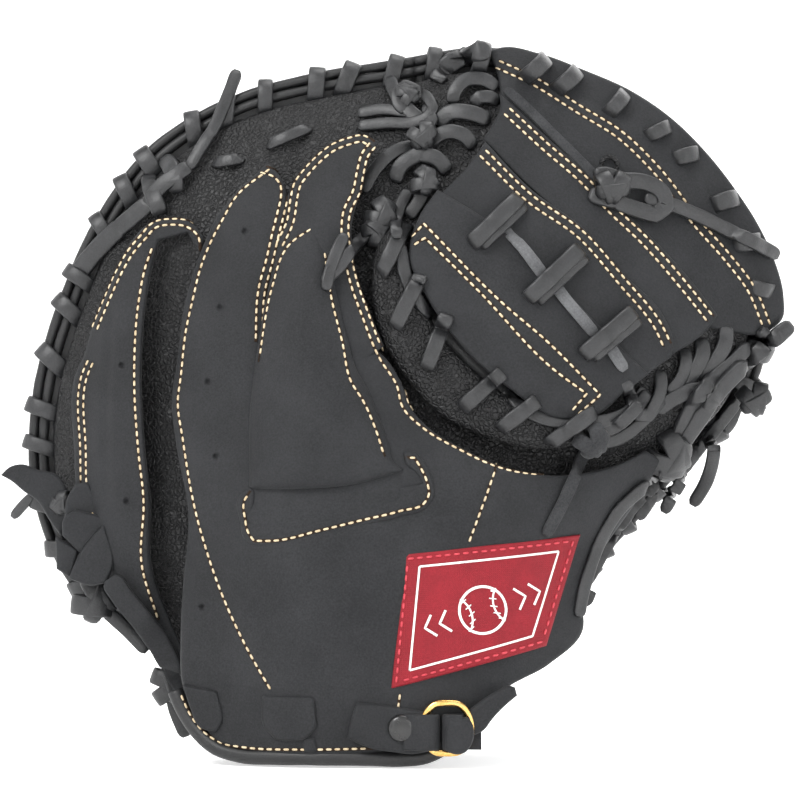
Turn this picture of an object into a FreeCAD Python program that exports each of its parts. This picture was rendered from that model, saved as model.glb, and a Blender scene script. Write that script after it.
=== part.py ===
"""A right-handed thrower's catcher's mitt, standing on its heel.

The back of the hand faces -Y, the pocket opens towards +Y, the finger tips are up and the thumb is at +X.
The palm is a padded bowl. Its shape is a set of rings round the middle of the pocket, and the leather panels
of the back are sheets that lie at a set height over the back of that bowl.
"""

import FreeCAD, Part
import math
import os

from FreeCAD import Placement, Rotation, Vector

SIZES = {
    "shift_x": 2.6,
    "shift_y": -19.5,
    "bowl_x": 1.0,
    "bowl_z": 137.0,
    "bowl_back": -14.0,
    "bowl_pad": 10.0,
    "rim_inset": 9.0,
    "skin": 2.2,
    "lining": 1.4,
    "gap": 0.4,
    "leather": 2.6,
    "binding": 4.5,
    "lace_width": 5.2,
    "lace_thick": 2.2,
    "pinky_low_x": -80.0,
    "pinky_low_z": 20.0,
    "pinky_top_x": -95.0,
    "pinky_top_z": 235.0,
    "pinky_y": -5.0,
    "pinky_vee": 11.0,
    "thumb_low_x": 52.0,
    "thumb_low_z": 20.0,
    "thumb_top_x": 143.0,
    "thumb_top_z": 158.0,
    "thumb_y": 6.0,
    "thumb_vee": 14.0,
    "thumb_short": 20.0,
    "strap_high": 12.5,
    "strap_thick": 2.6,
    "strap_z": 8.0,
    "strap_y": -43.6,
    "wrist_z": 80.0,
    "ring_wide": 17.5,
    "ring_high": 21.0,
    "ring_wire": 2.6,
    "ring_round": 4.5,
    "ring_x": 8.5,
    "ring_slack": 2.0,
    "snap_cap": 5.0,
    "snap_x": 0.5,
}

# Outline of the mitt round the middle of the pocket: a radius every 15 degrees, counter-clockwise from +X.
RIM = [134, 146, 147, 144, 140, 137, 128, 127, 131, 135, 135, 136,
       141, 146, 146, 136, 144, 137, 131, 123, 114, 102, 103, 112]
RINGS = 24

# Corners of the web, anticlockwise from the crotch: X and Z.
WEB = [(5, 187), (13, 172), (29, 150), (40, 140), (61, 128), (84, 139), (115, 161), (141, 161),
       (175, 170), (175, 290), (34, 290), (34, 262), (38, 249), (35, 238), (18, 215), (8, 204)]

doc = FreeCAD.newDocument("mitt")
sheet = doc.addObject("Spreadsheet::Sheet", "sizes")
NODES = []


def fill_sheet():
    """Put every driving dimension in the sheet under its own alias."""
    for row, (alias, value) in enumerate(SIZES.items(), 1):
        sheet.set(f"A{row}", alias)
        sheet.set(f"B{row}", str(value))
        sheet.setAlias(f"B{row}", alias)
    doc.recompute()


def size(alias):
    """Return one driving dimension from the sheet."""
    return float(sheet.get(alias))


def node(obj, label):
    """Name a sub-part and list it for export."""
    obj.Label = label
    NODES.append(obj)
    return obj


def bind(obj, **expressions):
    """Bind properties of an object to cells of the sheet."""
    for key, text in expressions.items():
        for alias in SIZES:
            text = text.replace(f"<{alias}>", f"sizes.{alias}")
        obj.setExpression(key.replace("__", "."), text)
    return obj


def shape_object(name, shape, label=None):
    """Hold a shape that no parametric feature makes."""
    obj = doc.addObject("Part::Feature", name)
    obj.Shape = shape
    obj.Placement = shape.Placement
    return node(obj, label) if label else obj


def boolean(kind, name, base, tool, label=None):
    """Combine two objects with Part::Cut, Part::Fuse or Part::Common."""
    obj = doc.addObject(f"Part::{kind}", name)
    obj.Base = base
    obj.Tool = tool
    return node(obj, label) if label else obj


# ---------------------------------------------------------------- the bowl


def bump(angle, middle, width):
    """A cosine hump that is 1 at middle and 0 past width degrees from it."""
    away = abs((angle - middle + 180) % 360 - 180)
    return 0.5 * (1 + math.cos(math.pi * away / width)) if away < width else 0.0


def rim_radius(angle):
    """Outline radius at any angle, smooth through the values in RIM."""
    place = (angle % 360) / 360 * len(RIM)
    index = int(place)
    part = place - index
    a, b, c, d = (RIM[(index + k) % len(RIM)] for k in (-1, 0, 1, 2))
    bend = 2 * a - 5 * b + 4 * c - d + part * (3 * (b - c) + d - a)
    return b + 0.5 * part * (c - a + part * bend)


def section(angle):
    """Depths of the bowl's section at one angle."""
    heel = bump(angle, 262, 75)
    thumb = bump(angle, 325, 65)
    web = bump(angle, 40, 60)
    return {
        "side": 26 - 14 * thumb - 18 * heel - 6 * web,
        "wall": 10 + 62 * thumb + 34 * heel + 14 * web,
        "back_power": 2.4 + 2 * thumb + 1.5 * heel,
        "front_power": 3 + 9 * thumb + 3 * heel,
        "thick": 13 + 10 * thumb + 10 * heel + 2 * web,
    }


def profile(angle):
    """Section of the bowl from the middle of the back, over the rim, to the middle of the pocket: r and Y."""
    cut = section(angle)
    rim = rim_radius(angle) - size("rim_inset")
    back, front = size("bowl_back"), size("bowl_back") + size("bowl_pad")
    side, wall, thick = cut["side"], cut["wall"], cut["thick"]
    top = side + wall
    points = []
    for share in (0.12, 0.3, 0.5, 0.7, 0.85, 0.95):
        rise = share ** cut["back_power"] if share > 0.2 else 0.0
        points.append((share * rim, back + (side - back) * rise))
    points += [(rim, side + 0.25 * wall), (rim - 1, side + 0.62 * wall), (rim - 0.12 * thick - 1, top - 2.5),
               (rim - 0.5 * thick, top), (rim - 0.85 * thick, top - 1.5)]
    for share in (0.97, 0.9, 0.8, 0.65, 0.5, 0.3, 0.15):
        rise = share ** cut["front_power"] if share > 0.2 else 0.0
        points.append((share * (rim - thick), front + (top - 4 - front) * rise))
    return points


def inset(points, depth):
    """Move a section inwards by depth."""
    moved = []
    last = len(points) - 1
    for index, (radius, y) in enumerate(points):
        before, after = points[max(0, index - 1)], points[min(last, index + 1)]
        along, up = after[0] - before[0], after[1] - before[1]
        length = math.hypot(along, up)
        if index in (0, last):
            moved.append((radius, y + (depth if index == 0 else -depth)))
        else:
            moved.append((radius - depth * up / length, y + depth * along / length))
    return moved


def at_angle(angle, radius, y):
    """Point of the bowl from its angle, radius and depth."""
    turn = math.radians(angle)
    return Vector(size("bowl_x") + radius * math.cos(turn), y, size("bowl_z") + radius * math.sin(turn))


def ring_loft(sections):
    """Solid through rings: sections holds one list of (r, Y) for each of the RINGS angles."""
    wires = []
    for index in range(len(sections[0])):
        curve = Part.BSplineCurve()
        points = [at_angle(k * 360 / RINGS, *sections[k][index]) for k in range(RINGS)]
        curve.interpolate(Points=points, PeriodicFlag=True)
        wires.append(Part.Wire([curve.toShape()]))
    return Part.makeLoft(wires, True, True)


def back_of_bowl(x, z):
    """Y of the bowl's back surface over a point of the XZ plane."""
    across, up = x - size("bowl_x"), z - size("bowl_z")
    angle = math.degrees(math.atan2(up, across))
    share = math.hypot(across, up) / (rim_radius(angle) - size("rim_inset"))
    cut = section(angle)
    return size("bowl_back") + (cut["side"] - size("bowl_back")) * share ** cut["back_power"]


# ---------------------------------------------------------------- hinge lines and the parts of the bowl


def hinge(name):
    """Lower end, direction, outward normal and length of the pinky or thumb hinge line."""
    low = Vector(size(f"{name}_low_x"), size(f"{name}_y"), size(f"{name}_low_z"))
    top = Vector(size(f"{name}_top_x"), size(f"{name}_y"), size(f"{name}_top_z"))
    along = (top - low).normalize()
    out = Vector(-along.z, 0, along.x) if name == "pinky" else Vector(along.z, 0, -along.x)
    return low, along, out, (top - low).Length


def half_space(point, normal, along, start, end):
    """Box whose near face passes through point, from start to end along the hinge line."""
    side = along.cross(normal)
    box = Part.makeBox(400, 800, end - start, Vector(0, -400, start))
    matrix = FreeCAD.Matrix(normal.x, side.x, along.x, point.x, normal.y, side.y, along.y, point.y,
                            normal.z, side.z, along.z, point.z, 0, 0, 0, 1)
    box.Placement = Placement(matrix)
    return box


def pinky_region(sign):
    """Room of the pinky side (sign 1) or of all the rest (sign -1), apart by a V that closes at the hinge."""
    low, along, out, _ = hinge("pinky")
    vee = math.radians(size("pinky_vee"))
    facing = out * sign
    leaning = facing * math.cos(vee) - Vector(0, 1, 0) * math.sin(vee)
    straight = half_space(low + facing * 0.3, facing, along, -200, 400)
    return straight.common(half_space(low, leaning, along, -200, 400))


def thumb_region(lean, margin):
    """Room of the thumb's wall, in front of a plane that leans from the hinge into the pocket's corner."""
    low, along, out, length = hinge("thumb")
    turn = math.radians(45 + lean)
    facing = out * math.sin(turn) + Vector(0, 1, 0) * math.cos(turn)
    return half_space(low, facing, along, 2 + margin, length - size("thumb_short") - margin)


def prism(corners, start=-120, end=160, curved=False):
    """Solid along Y over an outline in X and Z."""
    points = [Vector(x, start, z) for x, z in corners]
    if curved:
        curve = Part.BSplineCurve()
        curve.interpolate(Points=points, PeriodicFlag=True)
        wire = Part.Wire([curve.toShape()])
    else:
        wire = Part.makePolygon(points + points[:1])
    return Part.Face(wire).extrude(Vector(0, end - start, 0))


def shrunk(corners, margin):
    """The same outline, moved inwards by margin along each corner's bisector."""
    moved = []
    count = len(corners)
    area = sum(corners[k][0] * corners[(k + 1) % count][1] - corners[(k + 1) % count][0] * corners[k][1]
               for k in range(count))
    sign = 1 if area > 0 else -1
    for k in range(count):
        (ax, az), (bx, bz), (cx, cz) = corners[k - 1], corners[k], corners[(k + 1) % count]
        first, second = math.hypot(bx - ax, bz - az), math.hypot(cx - bx, cz - bz)
        nx = -(bz - az) / first - (cz - bz) / second
        nz = (bx - ax) / first + (cx - bx) / second
        length = math.hypot(nx, nz)
        moved.append((bx + sign * margin * nx / length, bz + sign * margin * nz / length))
    return moved


def build_bowl():
    """The padded palm: felt pad, palm leather and hand lining, each in the hand, pinky and thumb parts."""
    sections = [profile(k * 360 / RINGS) for k in range(RINGS)]
    skin, gap, lining = size("skin"), size("gap"), size("lining")
    outer = shape_object("bowl_outer", ring_loft(sections))
    pad = shape_object("bowl_pad", ring_loft([inset(points, skin + gap) for points in sections]))
    palm = shape_object("bowl_palm", ring_loft([points[6:][::-1] + inset(points, skin)[6:] for points in sections]))
    back = shape_object("bowl_lining", ring_loft([points[:6] + inset(points, lining)[:6][::-1] for points in sections]))
    web = shape_object("web_room", prism(WEB))
    web_inside = shape_object("web_inside", prism(shrunk(WEB, 0.5)))
    pinky = shape_object("pinky_room", pinky_region(1))
    rest = shape_object("hand_room", pinky_region(-1))
    thumb = shape_object("thumb_room", thumb_region(size("thumb_vee"), 3))
    thumb_gap = shape_object("thumb_gap", thumb_region(-size("thumb_vee"), 0))
    for layer, whole in (("palm_pad", pad), ("palm_leather", palm), ("hand_lining", back)):
        without_web = boolean("Cut", f"{layer}_open", whole, web)
        boolean("Common", f"{layer}_pinky_part", without_web, pinky, f"{layer}_pinky")
        middle = boolean("Common", f"{layer}_rest", without_web, rest)
        boolean("Cut", f"{layer}_hand_part", middle, thumb_gap, f"{layer}_hand")
        if layer != "hand_lining":
            boolean("Common", f"{layer}_thumb_part", middle, thumb, f"{layer}_thumb")
    boolean("Common", "web_front_part", outer, web_inside, "web_front")


# ---------------------------------------------------------------- leather sheets of the back


def smooth(value):
    """Ease from 0 to 1."""
    value = min(1.0, max(0.0, value))
    return value * value * (3 - 2 * value)


def hand_face(x, z):
    """Y inside the back of the hand: deep at the wrist, where it runs straight down, low at the finger tips."""
    deep = 9 + 15 * smooth((190 - z) / 140)
    rise = deep * max(0.35, 1 - 0.55 * ((x + 5) / 85) ** 2)
    return back_of_bowl(x, max(z, size("wrist_z"))) - rise


def pinky_face(x, z):
    """Y inside the pinky stall's leather."""
    return back_of_bowl(x, z) - 4.5 - 6 * math.exp(-((x + 104) / 16) ** 2)


def web_face(x, z):
    """Y inside the web's back leather, just clear of the web's front."""
    return back_of_bowl(x, z) - 0.8 - 5 * smooth((150 - x * 0.7 - z * 0.4) / 60)


def sheet_solid(face, low, thick, box, steps=(16, 18)):
    """Curved sheet between low and low + thick outside a face, across a box of X and Z."""
    x0, x1, z0, z1 = box
    faces, surfaces = [], []
    for height in (low, low + thick):
        grid = []
        for i in range(steps[0] + 1):
            x = x0 + (x1 - x0) * i / steps[0]
            zs = [z0 + (z1 - z0) * j / steps[1] for j in range(steps[1] + 1)]
            grid.append([Vector(x, face(x, z) - height, z) for z in zs])
        surface = Part.BSplineSurface()
        surface.interpolate(grid)
        surfaces.append(surface)
        faces.append(surface.toShape())
    inner, outer = surfaces
    for direction in ("u", "v"):
        for at in (0.0, 1.0):
            pair = [s.uIso(at) if direction == "u" else s.vIso(at) for s in (inner, outer)]
            faces.append(Part.makeRuledSurface(pair[0].toShape(), pair[1].toShape()))
    solid = Part.makeSolid(Part.makeShell(faces))
    if solid.Volume < 0:
        solid.reverse()
    return solid


HAND_BOX = (-95, 105, -4, 234)
PINKY_BOX = (-128, -70, 22, 206)
WEB_BOX = (-5, 150, 120, 265)

BACK_SHELL = [(-60, 7.5), (-67, 11), (-73, 19), (-79, 30), (-80, 62), (-76, 92), (-81, 120), (-82.5, 136), (-81.5, 145), (-78, 172),
              (-71, 193), (-66, 203), (-58, 212), (-50, 221), (-45, 218), (-44, 206), (-48, 190), (-52, 172),
              (-51, 157), (-14, 157), (-7, 151), (-1, 141), (2, 133), (10, 124), (22, 117), (40, 110), (60, 109),
              (80, 114), (96, 106), (86, 95), (72, 74), (66, 59), (66, 50), (54, 39), (38, 30), (27, 17), (17, 9), (0, 7)]
WRIST_LINING = [(-62, 8), (-66, 20), (-68, 45), (44, 50), (34, 30), (16, 8.5)]
LOOP_LEFT = [(-73, 28), (-59, 27), (-58, 12), (-63, 10), (-69, 17)]
LOOP_MIDDLE = [(-51, 26), (-32, 26), (-31, 14), (-37, 9), (-46, 9.5), (-50, 15)]
SLOT = [(-52, 93), (8, 103), (9, 109), (-52, 101)]
INDEX_BACK = [(-50.5, 158), (-51, 172), (-47, 190), (-43, 206), (-38, 214), (-33, 222), (-24, 230), (-15, 233),
              (-10, 231), (-13, 223), (-17, 212), (-20, 198), (-17, 180), (-13.5, 158)]
HOOD = [(-31, 200), (-41, 192), (-47, 176), (-51, 156), (-54, 135), (-54.5, 103), (-38, 103), (-13, 106),
        (0, 110), (-5, 113), (-10, 127), (-18, 143), (-22, 158), (-26, 174), (-29, 190)]
SLOT_FRAME = [(-56, 101), (-58, 96), (-57, 87), (-54, 83), (-46, 83), (-15, 90), (9, 95), (13, 101), (12, 108),
              (8, 114), (3, 114), (2, 109), (8, 109), (9, 103), (-4, 100), (-32, 95), (-52, 93), (-53, 100.5)]
PINKY_BACK = [(-96, 120), (-97, 140), (-96, 160), (-94, 180), (-90, 192), (-82, 198), (-90, 201), (-98, 197),
              (-105, 187), (-111, 175), (-117, 161), (-120, 146), (-121, 120), (-119, 97), (-109, 72), (-96, 48),
              (-89, 40), (-91, 52), (-96, 74), (-95.5, 100)]
PATCH = [(3, 78), (67, 84), (54.5, 44), (-3, 29)]
WEB_BACK = [(5, 188), (13, 172), (29, 151), (40, 141), (61, 129), (84, 140), (96, 148), (86, 159), (60, 184),
            (37, 207), (26, 220), (15, 210), (8, 200)]
WEB_MIDDLE = [(26.5, 221), (37.5, 208), (60.5, 185), (86.5, 160), (97, 149), (101, 153), (94, 166), (83, 181),
              (68, 199), (48, 218), (37, 228), (33, 232)]
WEB_UPPER = [(34, 232.5), (38, 228.5), (49, 218.5), (69, 199.5), (84, 181.5), (95, 166.5), (101.5, 154), (114, 163),
             (118, 168), (107, 180), (94, 195), (80, 210), (56, 233), (41, 244)]
WEB_RIM = [(41.5, 244.5), (56.5, 233.5), (80.5, 210.5), (94.5, 195.5), (107.5, 180.5), (118.5, 168.5), (135, 166),
           (134, 178), (125, 200), (113, 215), (98, 230), (80, 240), (52, 252), (39, 258)]


def leather(label, layer, outline, curved=False):
    """Cut one leather piece out of a curved sheet."""
    tool = shape_object(f"{label}_outline", prism(outline, -90, 60, curved))
    return boolean("Common", f"{label}_piece", layer, tool, label)


def build_back():
    """The leather pieces of the back, each cut from the sheet at its own height."""
    thick, gap = size("leather"), size("gap")
    hand = shape_object("hand_sheet", sheet_solid(hand_face, 0, thick, HAND_BOX))
    upper = shape_object("over_sheet", sheet_solid(hand_face, thick + gap, 1.4, HAND_BOX))
    hood = shape_object("hood_sheet", sheet_solid(hand_face, thick + gap + 2, 4.0, HAND_BOX))
    pinky = shape_object("pinky_sheet", sheet_solid(pinky_face, 0, thick, PINKY_BOX))
    slot = shape_object("slot_room", prism(SLOT))
    holed = boolean("Cut", "hand_holed", hand, slot)
    inner = shape_object("inner_sheet", sheet_solid(hand_face, -3.2, 2.4, HAND_BOX))
    leather("back_shell", holed, BACK_SHELL)
    leather("wrist_lining", inner, WRIST_LINING)
    leather("strap_loop_left", upper, LOOP_LEFT)
    leather("strap_loop_middle", upper, LOOP_MIDDLE)
    leather("index_back", hand, INDEX_BACK)
    leather("slot_frame", upper, SLOT_FRAME)
    leather("label_patch", upper, PATCH)
    leather("finger_hood", hood, HOOD)
    leather("pinky_back", pinky, PINKY_BACK)


def build_web():
    """The four overlapping leather pieces of the web's back."""
    thick, gap = size("leather"), size("gap")
    low = shape_object("web_low_sheet", sheet_solid(web_face, 0, thick, WEB_BOX))
    high = shape_object("web_high_sheet", sheet_solid(web_face, thick + gap, thick, WEB_BOX))
    leather("web_back", high, WEB_BACK)
    leather("web_middle", low, WEB_MIDDLE)
    leather("web_upper", high, WEB_UPPER)
    leather("web_edge", low, WEB_RIM)


# ---------------------------------------------------------------- rolls and laces


def tube(points, radius):
    """Round roll through points, a ring at each."""
    wires = []
    for index, point in enumerate(points):
        before, after = points[max(0, index - 1)], points[min(len(points) - 1, index + 1)]
        wires.append(Part.Wire([Part.Circle(point, after - before, radius).toShape()]))
    return Part.makeLoft(wires, True, True)


def strip(points, outward, width, thick):
    """Flat lace through points. Outward is one direction, or a function of the point."""
    wires = []
    for index, point in enumerate(points):
        before, after = points[max(0, index - 1)], points[min(len(points) - 1, index + 1)]
        along = (after - before).normalize()
        up = outward(point) if callable(outward) else outward
        side = along.cross(up).normalize() * (width / 2)
        rise = side.cross(along).normalize() * (thick / 2)
        corners = [point + side + rise, point - side + rise, point - side - rise, point + side - rise]
        wires.append(Part.makePolygon(corners + corners[:1]))
    return Part.makeLoft(wires, True, True)


def rim_point(angle, out=0.0, forward=0.0):
    """Middle of the rim's roll at an angle, moved out or forward."""
    cut = section(angle)
    radius = rim_radius(angle) - size("binding") + 0.5
    return at_angle(angle, radius + out, cut["side"] + cut["wall"] - 5 + forward)


def wrap_angles(start, end):
    """Angles of the lace turns between two angles, the same margin left at both ends."""
    count = int((end - start - 4) / WRAP_STEP)
    first = (start + end - count * WRAP_STEP) / 2
    return [first + WRAP_STEP * k for k in range(count + 1)]


def rim_roll(start, end):
    """Rolled leather edge along the rim between two angles, straight under each lace turn."""
    angles = [start]
    for angle in wrap_angles(start, end):
        angles += [angle - 1.6, angle + 1.6]
    return tube([rim_point(angle) for angle in angles + [end]], size("binding"))


def rim_wrap(angle):
    """One lace turn over the outer half of the rim's roll."""
    reach = size("binding") + 0.6 + size("lace_thick") / 2
    middle = rim_point(angle)
    along = (rim_point(angle + 1.6) - rim_point(angle - 1.6)).normalize()
    out = rim_point(angle, 1) - middle
    out = (out - along * out.dot(along)).normalize()
    turns = [math.radians(a) for a in range(-100, 101, 25)]
    points = [middle + (out * math.cos(t) + along.cross(out) * math.sin(t)) * reach for t in turns]
    return strip(points, lambda point: point - middle, size("lace_width"), size("lace_thick"))


RIM_ARCS = {"pinky": [(143, 225)], "thumb": [(300, 354)], "hand": [(5, 125), (239, 291)]}
WRAP_STEP = 8.0


def build_rim():
    """Rolled edge and its lace turns, apart for the hand, pinky and thumb parts."""
    for part, arcs in RIM_ARCS.items():
        rolls = Part.makeCompound([rim_roll(start, end) for start, end in arcs])
        wraps = []
        for start, end in arcs:
            wraps += [rim_wrap(angle) for angle in wrap_angles(start, end)]
        shape_object(f"roll_{part}", rolls, f"rim_roll_{part}")
        shape_object(f"wraps_{part}", Part.makeCompound(wraps), f"rim_lace_{part}")


def over(face, x, z, lift):
    """Point at a height outside one of the curved faces."""
    return Vector(x, face(x, z) - lift, z)


def arch(face, start, end, lift, bulge, width=None, thick=None):
    """Lace bridge from start to end, each an (X, Z), standing off the face."""
    points = []
    for k in range(6):
        share = k / 5
        x = start[0] + (end[0] - start[0]) * share
        z = start[1] + (end[1] - start[1]) * share
        points.append(over(face, x, z, lift + bulge * math.sin(math.pi * share)))
    return strip(points, Vector(0, -1, 0), width or size("lace_width"), thick or size("lace_thick"))


def lace_node(label, face, bridges, lift, bulge, width=None, thick=None):
    """A group of lace bridges as one node."""
    pieces = [arch(face, start, end, lift, bulge, width, thick) for start, end in bridges]
    shape_object(f"{label}_pieces", Part.makeCompound(pieces), label)


CROTCH = [(-6, 180), (-3, 163), (7, 148), (22, 136), (40, 128), (61, 121), (84, 127)]
CROTCH_LACES = [((-4, 190), (4, 196)), ((1, 172), (9, 178)), ((8, 158), (15, 166)), ((18, 145), (26, 154)),
                ((32, 136), (38, 144)), ((48, 129), (52, 137)), ((66, 127), (68, 133))]
WEB_LOOPS = [((27, 194), (43, 209)), ((48, 173), (66, 190)), ((69, 152), (86, 168))]
WEB_STRIPS = [((45, 250), (74, 222)), ((104, 208), (138, 193))]
WEB_BOW = [((70, 218), (98, 212)), ((76, 206), (99, 217.5))]
FINGER_LACES = [((-12, 240), (6, 238)), ((2, 252), (12, 246)), ((-2, 224), (14, 228)), ((16, 254), (28, 250)),
                ((2, 214), (14, 218)), ((-10, 250), (-4, 244))]
THUMB_LACES = [((92, 133), (90, 144)), ((104, 137), (102, 149)), ((116, 142), (113, 155)), ((127, 147), (125, 160))]
THUMB_THONGS = [((142, 166), (120, 137)), ((133, 158), (95, 116))]
THUMB_EDGE = [((96, 104), (73, 74)), ((72, 73), (66, 56))]
PINKY_KNOTS = [((-122, 64), (-109, 52)), ((-112, 56), (-95, 38)), ((-92, 32), (-85, 22)), ((-86, 22), (-83, 7)),
               ((-122, 182), (-95, 205))]
PINKY_TOP = [((-88, 206), (-80, 226)), ((-74, 237), (-62, 260))]
WRIST_EDGE = [(-82, 24), (-76, 13.5), (-69, 6.5), (-59, 3.4), (-40, 3), (-20, 3), (0, 3), (15, 3.4), (22, 8)]


def build_laces():
    """Laces, knots, loops and rolls of the back."""
    roll = [over(hand_face, x, z, 2) for x, z in CROTCH]
    shape_object("crotch_roll_tube", tube(roll, 3.6), "crotch_roll")
    edge = [over(hand_face, x, z, 1.2) for x, z in WRIST_EDGE]
    shape_object("wrist_roll_tube", tube(edge, 2.8), "wrist_roll")
    lace_node("web_loops", web_face, WEB_LOOPS, 7.4, 3)
    lace_node("web_strips", web_face, WEB_STRIPS, 7.4, 1, 4.2)
    lace_node("web_bow", web_face, WEB_BOW, 10.8, 5)
    lace_node("crotch_lace", hand_face, CROTCH_LACES, 9.5, 1)
    lace_node("finger_lace", web_face, FINGER_LACES, 1.8, 2)
    lace_node("finger_knot", hand_face, [((-10, 206), (-4, 197)), ((-12, 198), (-28, 180))], 12.5, 1.5)
    lace_node("thumb_web_lace", back_of_bowl, THUMB_LACES, 11, 3)
    lace_node("thumb_thongs", back_of_bowl, THUMB_THONGS, 20.2, 2, 7, 4)
    lace_node("thumb_edge_lace", hand_face, THUMB_EDGE, 8, 1)
    lace_node("crotch_tail", hand_face, [((70, 116), (53, 85))], 6, 1)
    lace_node("pinky_knots", pinky_face, PINKY_KNOTS, 5, 2)
    lace_node("pinky_top_lace", pinky_face, PINKY_TOP, 15, 1)
    lace_node("pinky_strap", pinky_face, [((-146, 104), (-128, 86)), ((-110, 68), (-87, 30))], 12, 1, 12)
    lace_node("pinky_strap_knot", pinky_face, [((-121, 100), (-113, 68))], 8.8, 3.4, 12, 3)
    lace_node("pinky_loop", back_of_bowl, [((-70, 128), (-50, 128))], 3.5, 3, 14, 1.6)
    lace_node("thumb_loop", back_of_bowl, [((38, 92), (58, 84))], 3.5, 3, 14, 1.6)


# ---------------------------------------------------------------- wrist strap, ring and snap


def strap_box(name, label, length, **place):
    """Straight strap of the sheet's height and thickness."""
    box = doc.addObject("Part::Box", name)
    bind(box, Length=length, Width="<strap_thick>", Height="<strap_high>")
    bind(box, **{f"Placement__Base__{key}": text for key, text in place.items()})
    return node(box, label) if label else box


def rounded_block(name, wide, high, deep, radius):
    """Block with its four corners round, standing in the XZ plane."""
    box = doc.addObject("Part::Box", name)
    bind(box, Length=wide, Width=deep, Height=high)
    doc.recompute()
    round_edges = doc.addObject("Part::Fillet", f"{name}_round")
    round_edges.Base = box
    across = [k for k, edge in enumerate(box.Shape.Edges, 1)
              if abs(edge.Vertexes[0].Y - edge.Vertexes[1].Y) > 0.1]
    round_edges.Edges = [(k, radius, radius) for k in across]
    return round_edges


def build_ring():
    """The brass ring of the strap: a flat loop with round corners."""
    outer = rounded_block("ring_outside", "<ring_wide>", "<ring_high>", "<ring_wire>", size("ring_round"))
    inner = rounded_block("ring_inside", "<ring_wide> - 2 * <ring_wire>", "<ring_high> - 2 * <ring_wire>",
                          "<ring_wire>", size("ring_round") - size("ring_wire"))
    bind(inner, Placement__Base__x="<ring_wire>", Placement__Base__z="<ring_wire>")
    ring = boolean("Cut", "ring_loop", outer, inner, "strap_ring")
    bind(ring, Placement__Base__x="<ring_x>", Placement__Base__y="<strap_y> - 0.4 - <ring_wire>",
         Placement__Base__z="<strap_z> + (<strap_high> - <ring_high>) / 2")


def disc(name, label, radius, deep, y, edge=0.0):
    """Turned part of the snap, with its axis along Y."""
    body = doc.addObject("PartDesign::Body", name)
    turned = body.newObject("PartDesign::AdditiveCylinder", f"{name}_disc")
    bind(turned, Radius=radius, Height=deep)
    doc.recompute()
    if edge:
        rim = body.newObject("PartDesign::Fillet", f"{name}_edge")
        tops = [f"Edge{k}" for k, e in enumerate(turned.Shape.Edges, 1) if e.BoundBox.ZMin > 0.1]
        rim.Base = (turned, tops[:1])
        rim.Radius = edge
        body.Tip = rim
    body.Placement = Placement(Vector(), Rotation(Vector(1, 0, 0), 90))
    bind(body, Placement__Base__x="<snap_x>", Placement__Base__y=y,
         Placement__Base__z="<strap_z> + <strap_high> / 2")
    return node(body, label)


def loop_cylinder(name, radius):
    """Upright cylinder round the ring's near bar."""
    cylinder = doc.addObject("Part::Cylinder", name)
    bind(cylinder, Radius=radius, Height="<strap_high> - 1.5", Placement__Base__x="<ring_x> + <ring_wire> / 2",
         Placement__Base__y="<strap_y> - 0.4 - <ring_wire> / 2", Placement__Base__z="<strap_z> + 0.75")
    return cylinder


def build_tab():
    """The strap's tab, folded round the ring's near bar, which is its hinge."""
    band = strap_box("tab_band", None, "<ring_x> + <ring_wire> / 2 + 16.4", x="-19",
                     y="<strap_y> - <strap_thick>", z="<strap_z>")
    fold = boolean("Cut", "tab_fold", loop_cylinder("fold_outside", "<ring_slack> + 1.5"),
                   loop_cylinder("fold_inside", "<ring_slack>"))
    boolean("Fuse", "tab_joined", band, fold, "strap_tab")


def build_keeper():
    """The keeper, folded round the ring's far bar, which is the ring's hinge."""
    band = strap_box("keeper_band", None, "29.7", x="15.3", y="<strap_y> + 2.2", z="<strap_z>")
    front = strap_box("keeper_front", None, "11.7", x="15.3", y="<strap_y> - <strap_thick> - 3.6", z="<strap_z>")
    turn = strap_box("keeper_turn", None, "2.6", x="15.3", y="<strap_y> - <strap_thick> - 3.6", z="<strap_z>")
    bind(turn, Width="3 * <strap_thick> + 3.2")
    boolean("Fuse", "keeper_joined", boolean("Fuse", "keeper_corner", band, turn), front, "ring_keeper")


def build_strap():
    """The tab through the ring, the snap and the ring's keeper."""
    build_tab()
    build_keeper()
    build_ring()
    disc("cap_body", "snap_cap", "<snap_cap>", "1.8", "<strap_y> - <strap_thick> - 0.1", 1.2)
    disc("socket_body", "snap_socket", "<snap_cap> * 0.8", "1.0", "<strap_y> + 1.1", 0.3)
    disc("stud_body", "snap_stud", "<snap_cap> * 0.7", "1.0", "<strap_y> + 2.3", 0.3)


fill_sheet()
build_bowl()
build_back()
build_web()
build_rim()
build_laces()
build_strap()
doc.recompute()

for item in doc.Objects:
    if "Invalid" in item.State or "Error" in item.State:
        raise RuntimeError(f"{item.Label} failed: {item.State}")

os.makedirs("parts", exist_ok=True)
for item in NODES:
    if item.Shape.isNull() or not item.Shape.isValid():
        raise RuntimeError(f"{item.Label} has no valid shape")
    item.Shape.translated(Vector(size("shift_x"), size("shift_y"), 0)).exportStep(f"parts/{item.Label}.step")
    print(f"{item.Label}: {len(item.Shape.Solids)} solids, {item.Shape.Volume:.0f} mm3")
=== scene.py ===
"""Catcher's mitt in black leather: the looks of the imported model, in metres and in its frame."""

import logging
import math
from dataclasses import dataclass
from enum import Enum
from typing import Callable, Optional, Sequence

import bpy
import numpy as np
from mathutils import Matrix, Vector, geometry, noise
from mathutils.bvhtree import BVHTree


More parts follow.
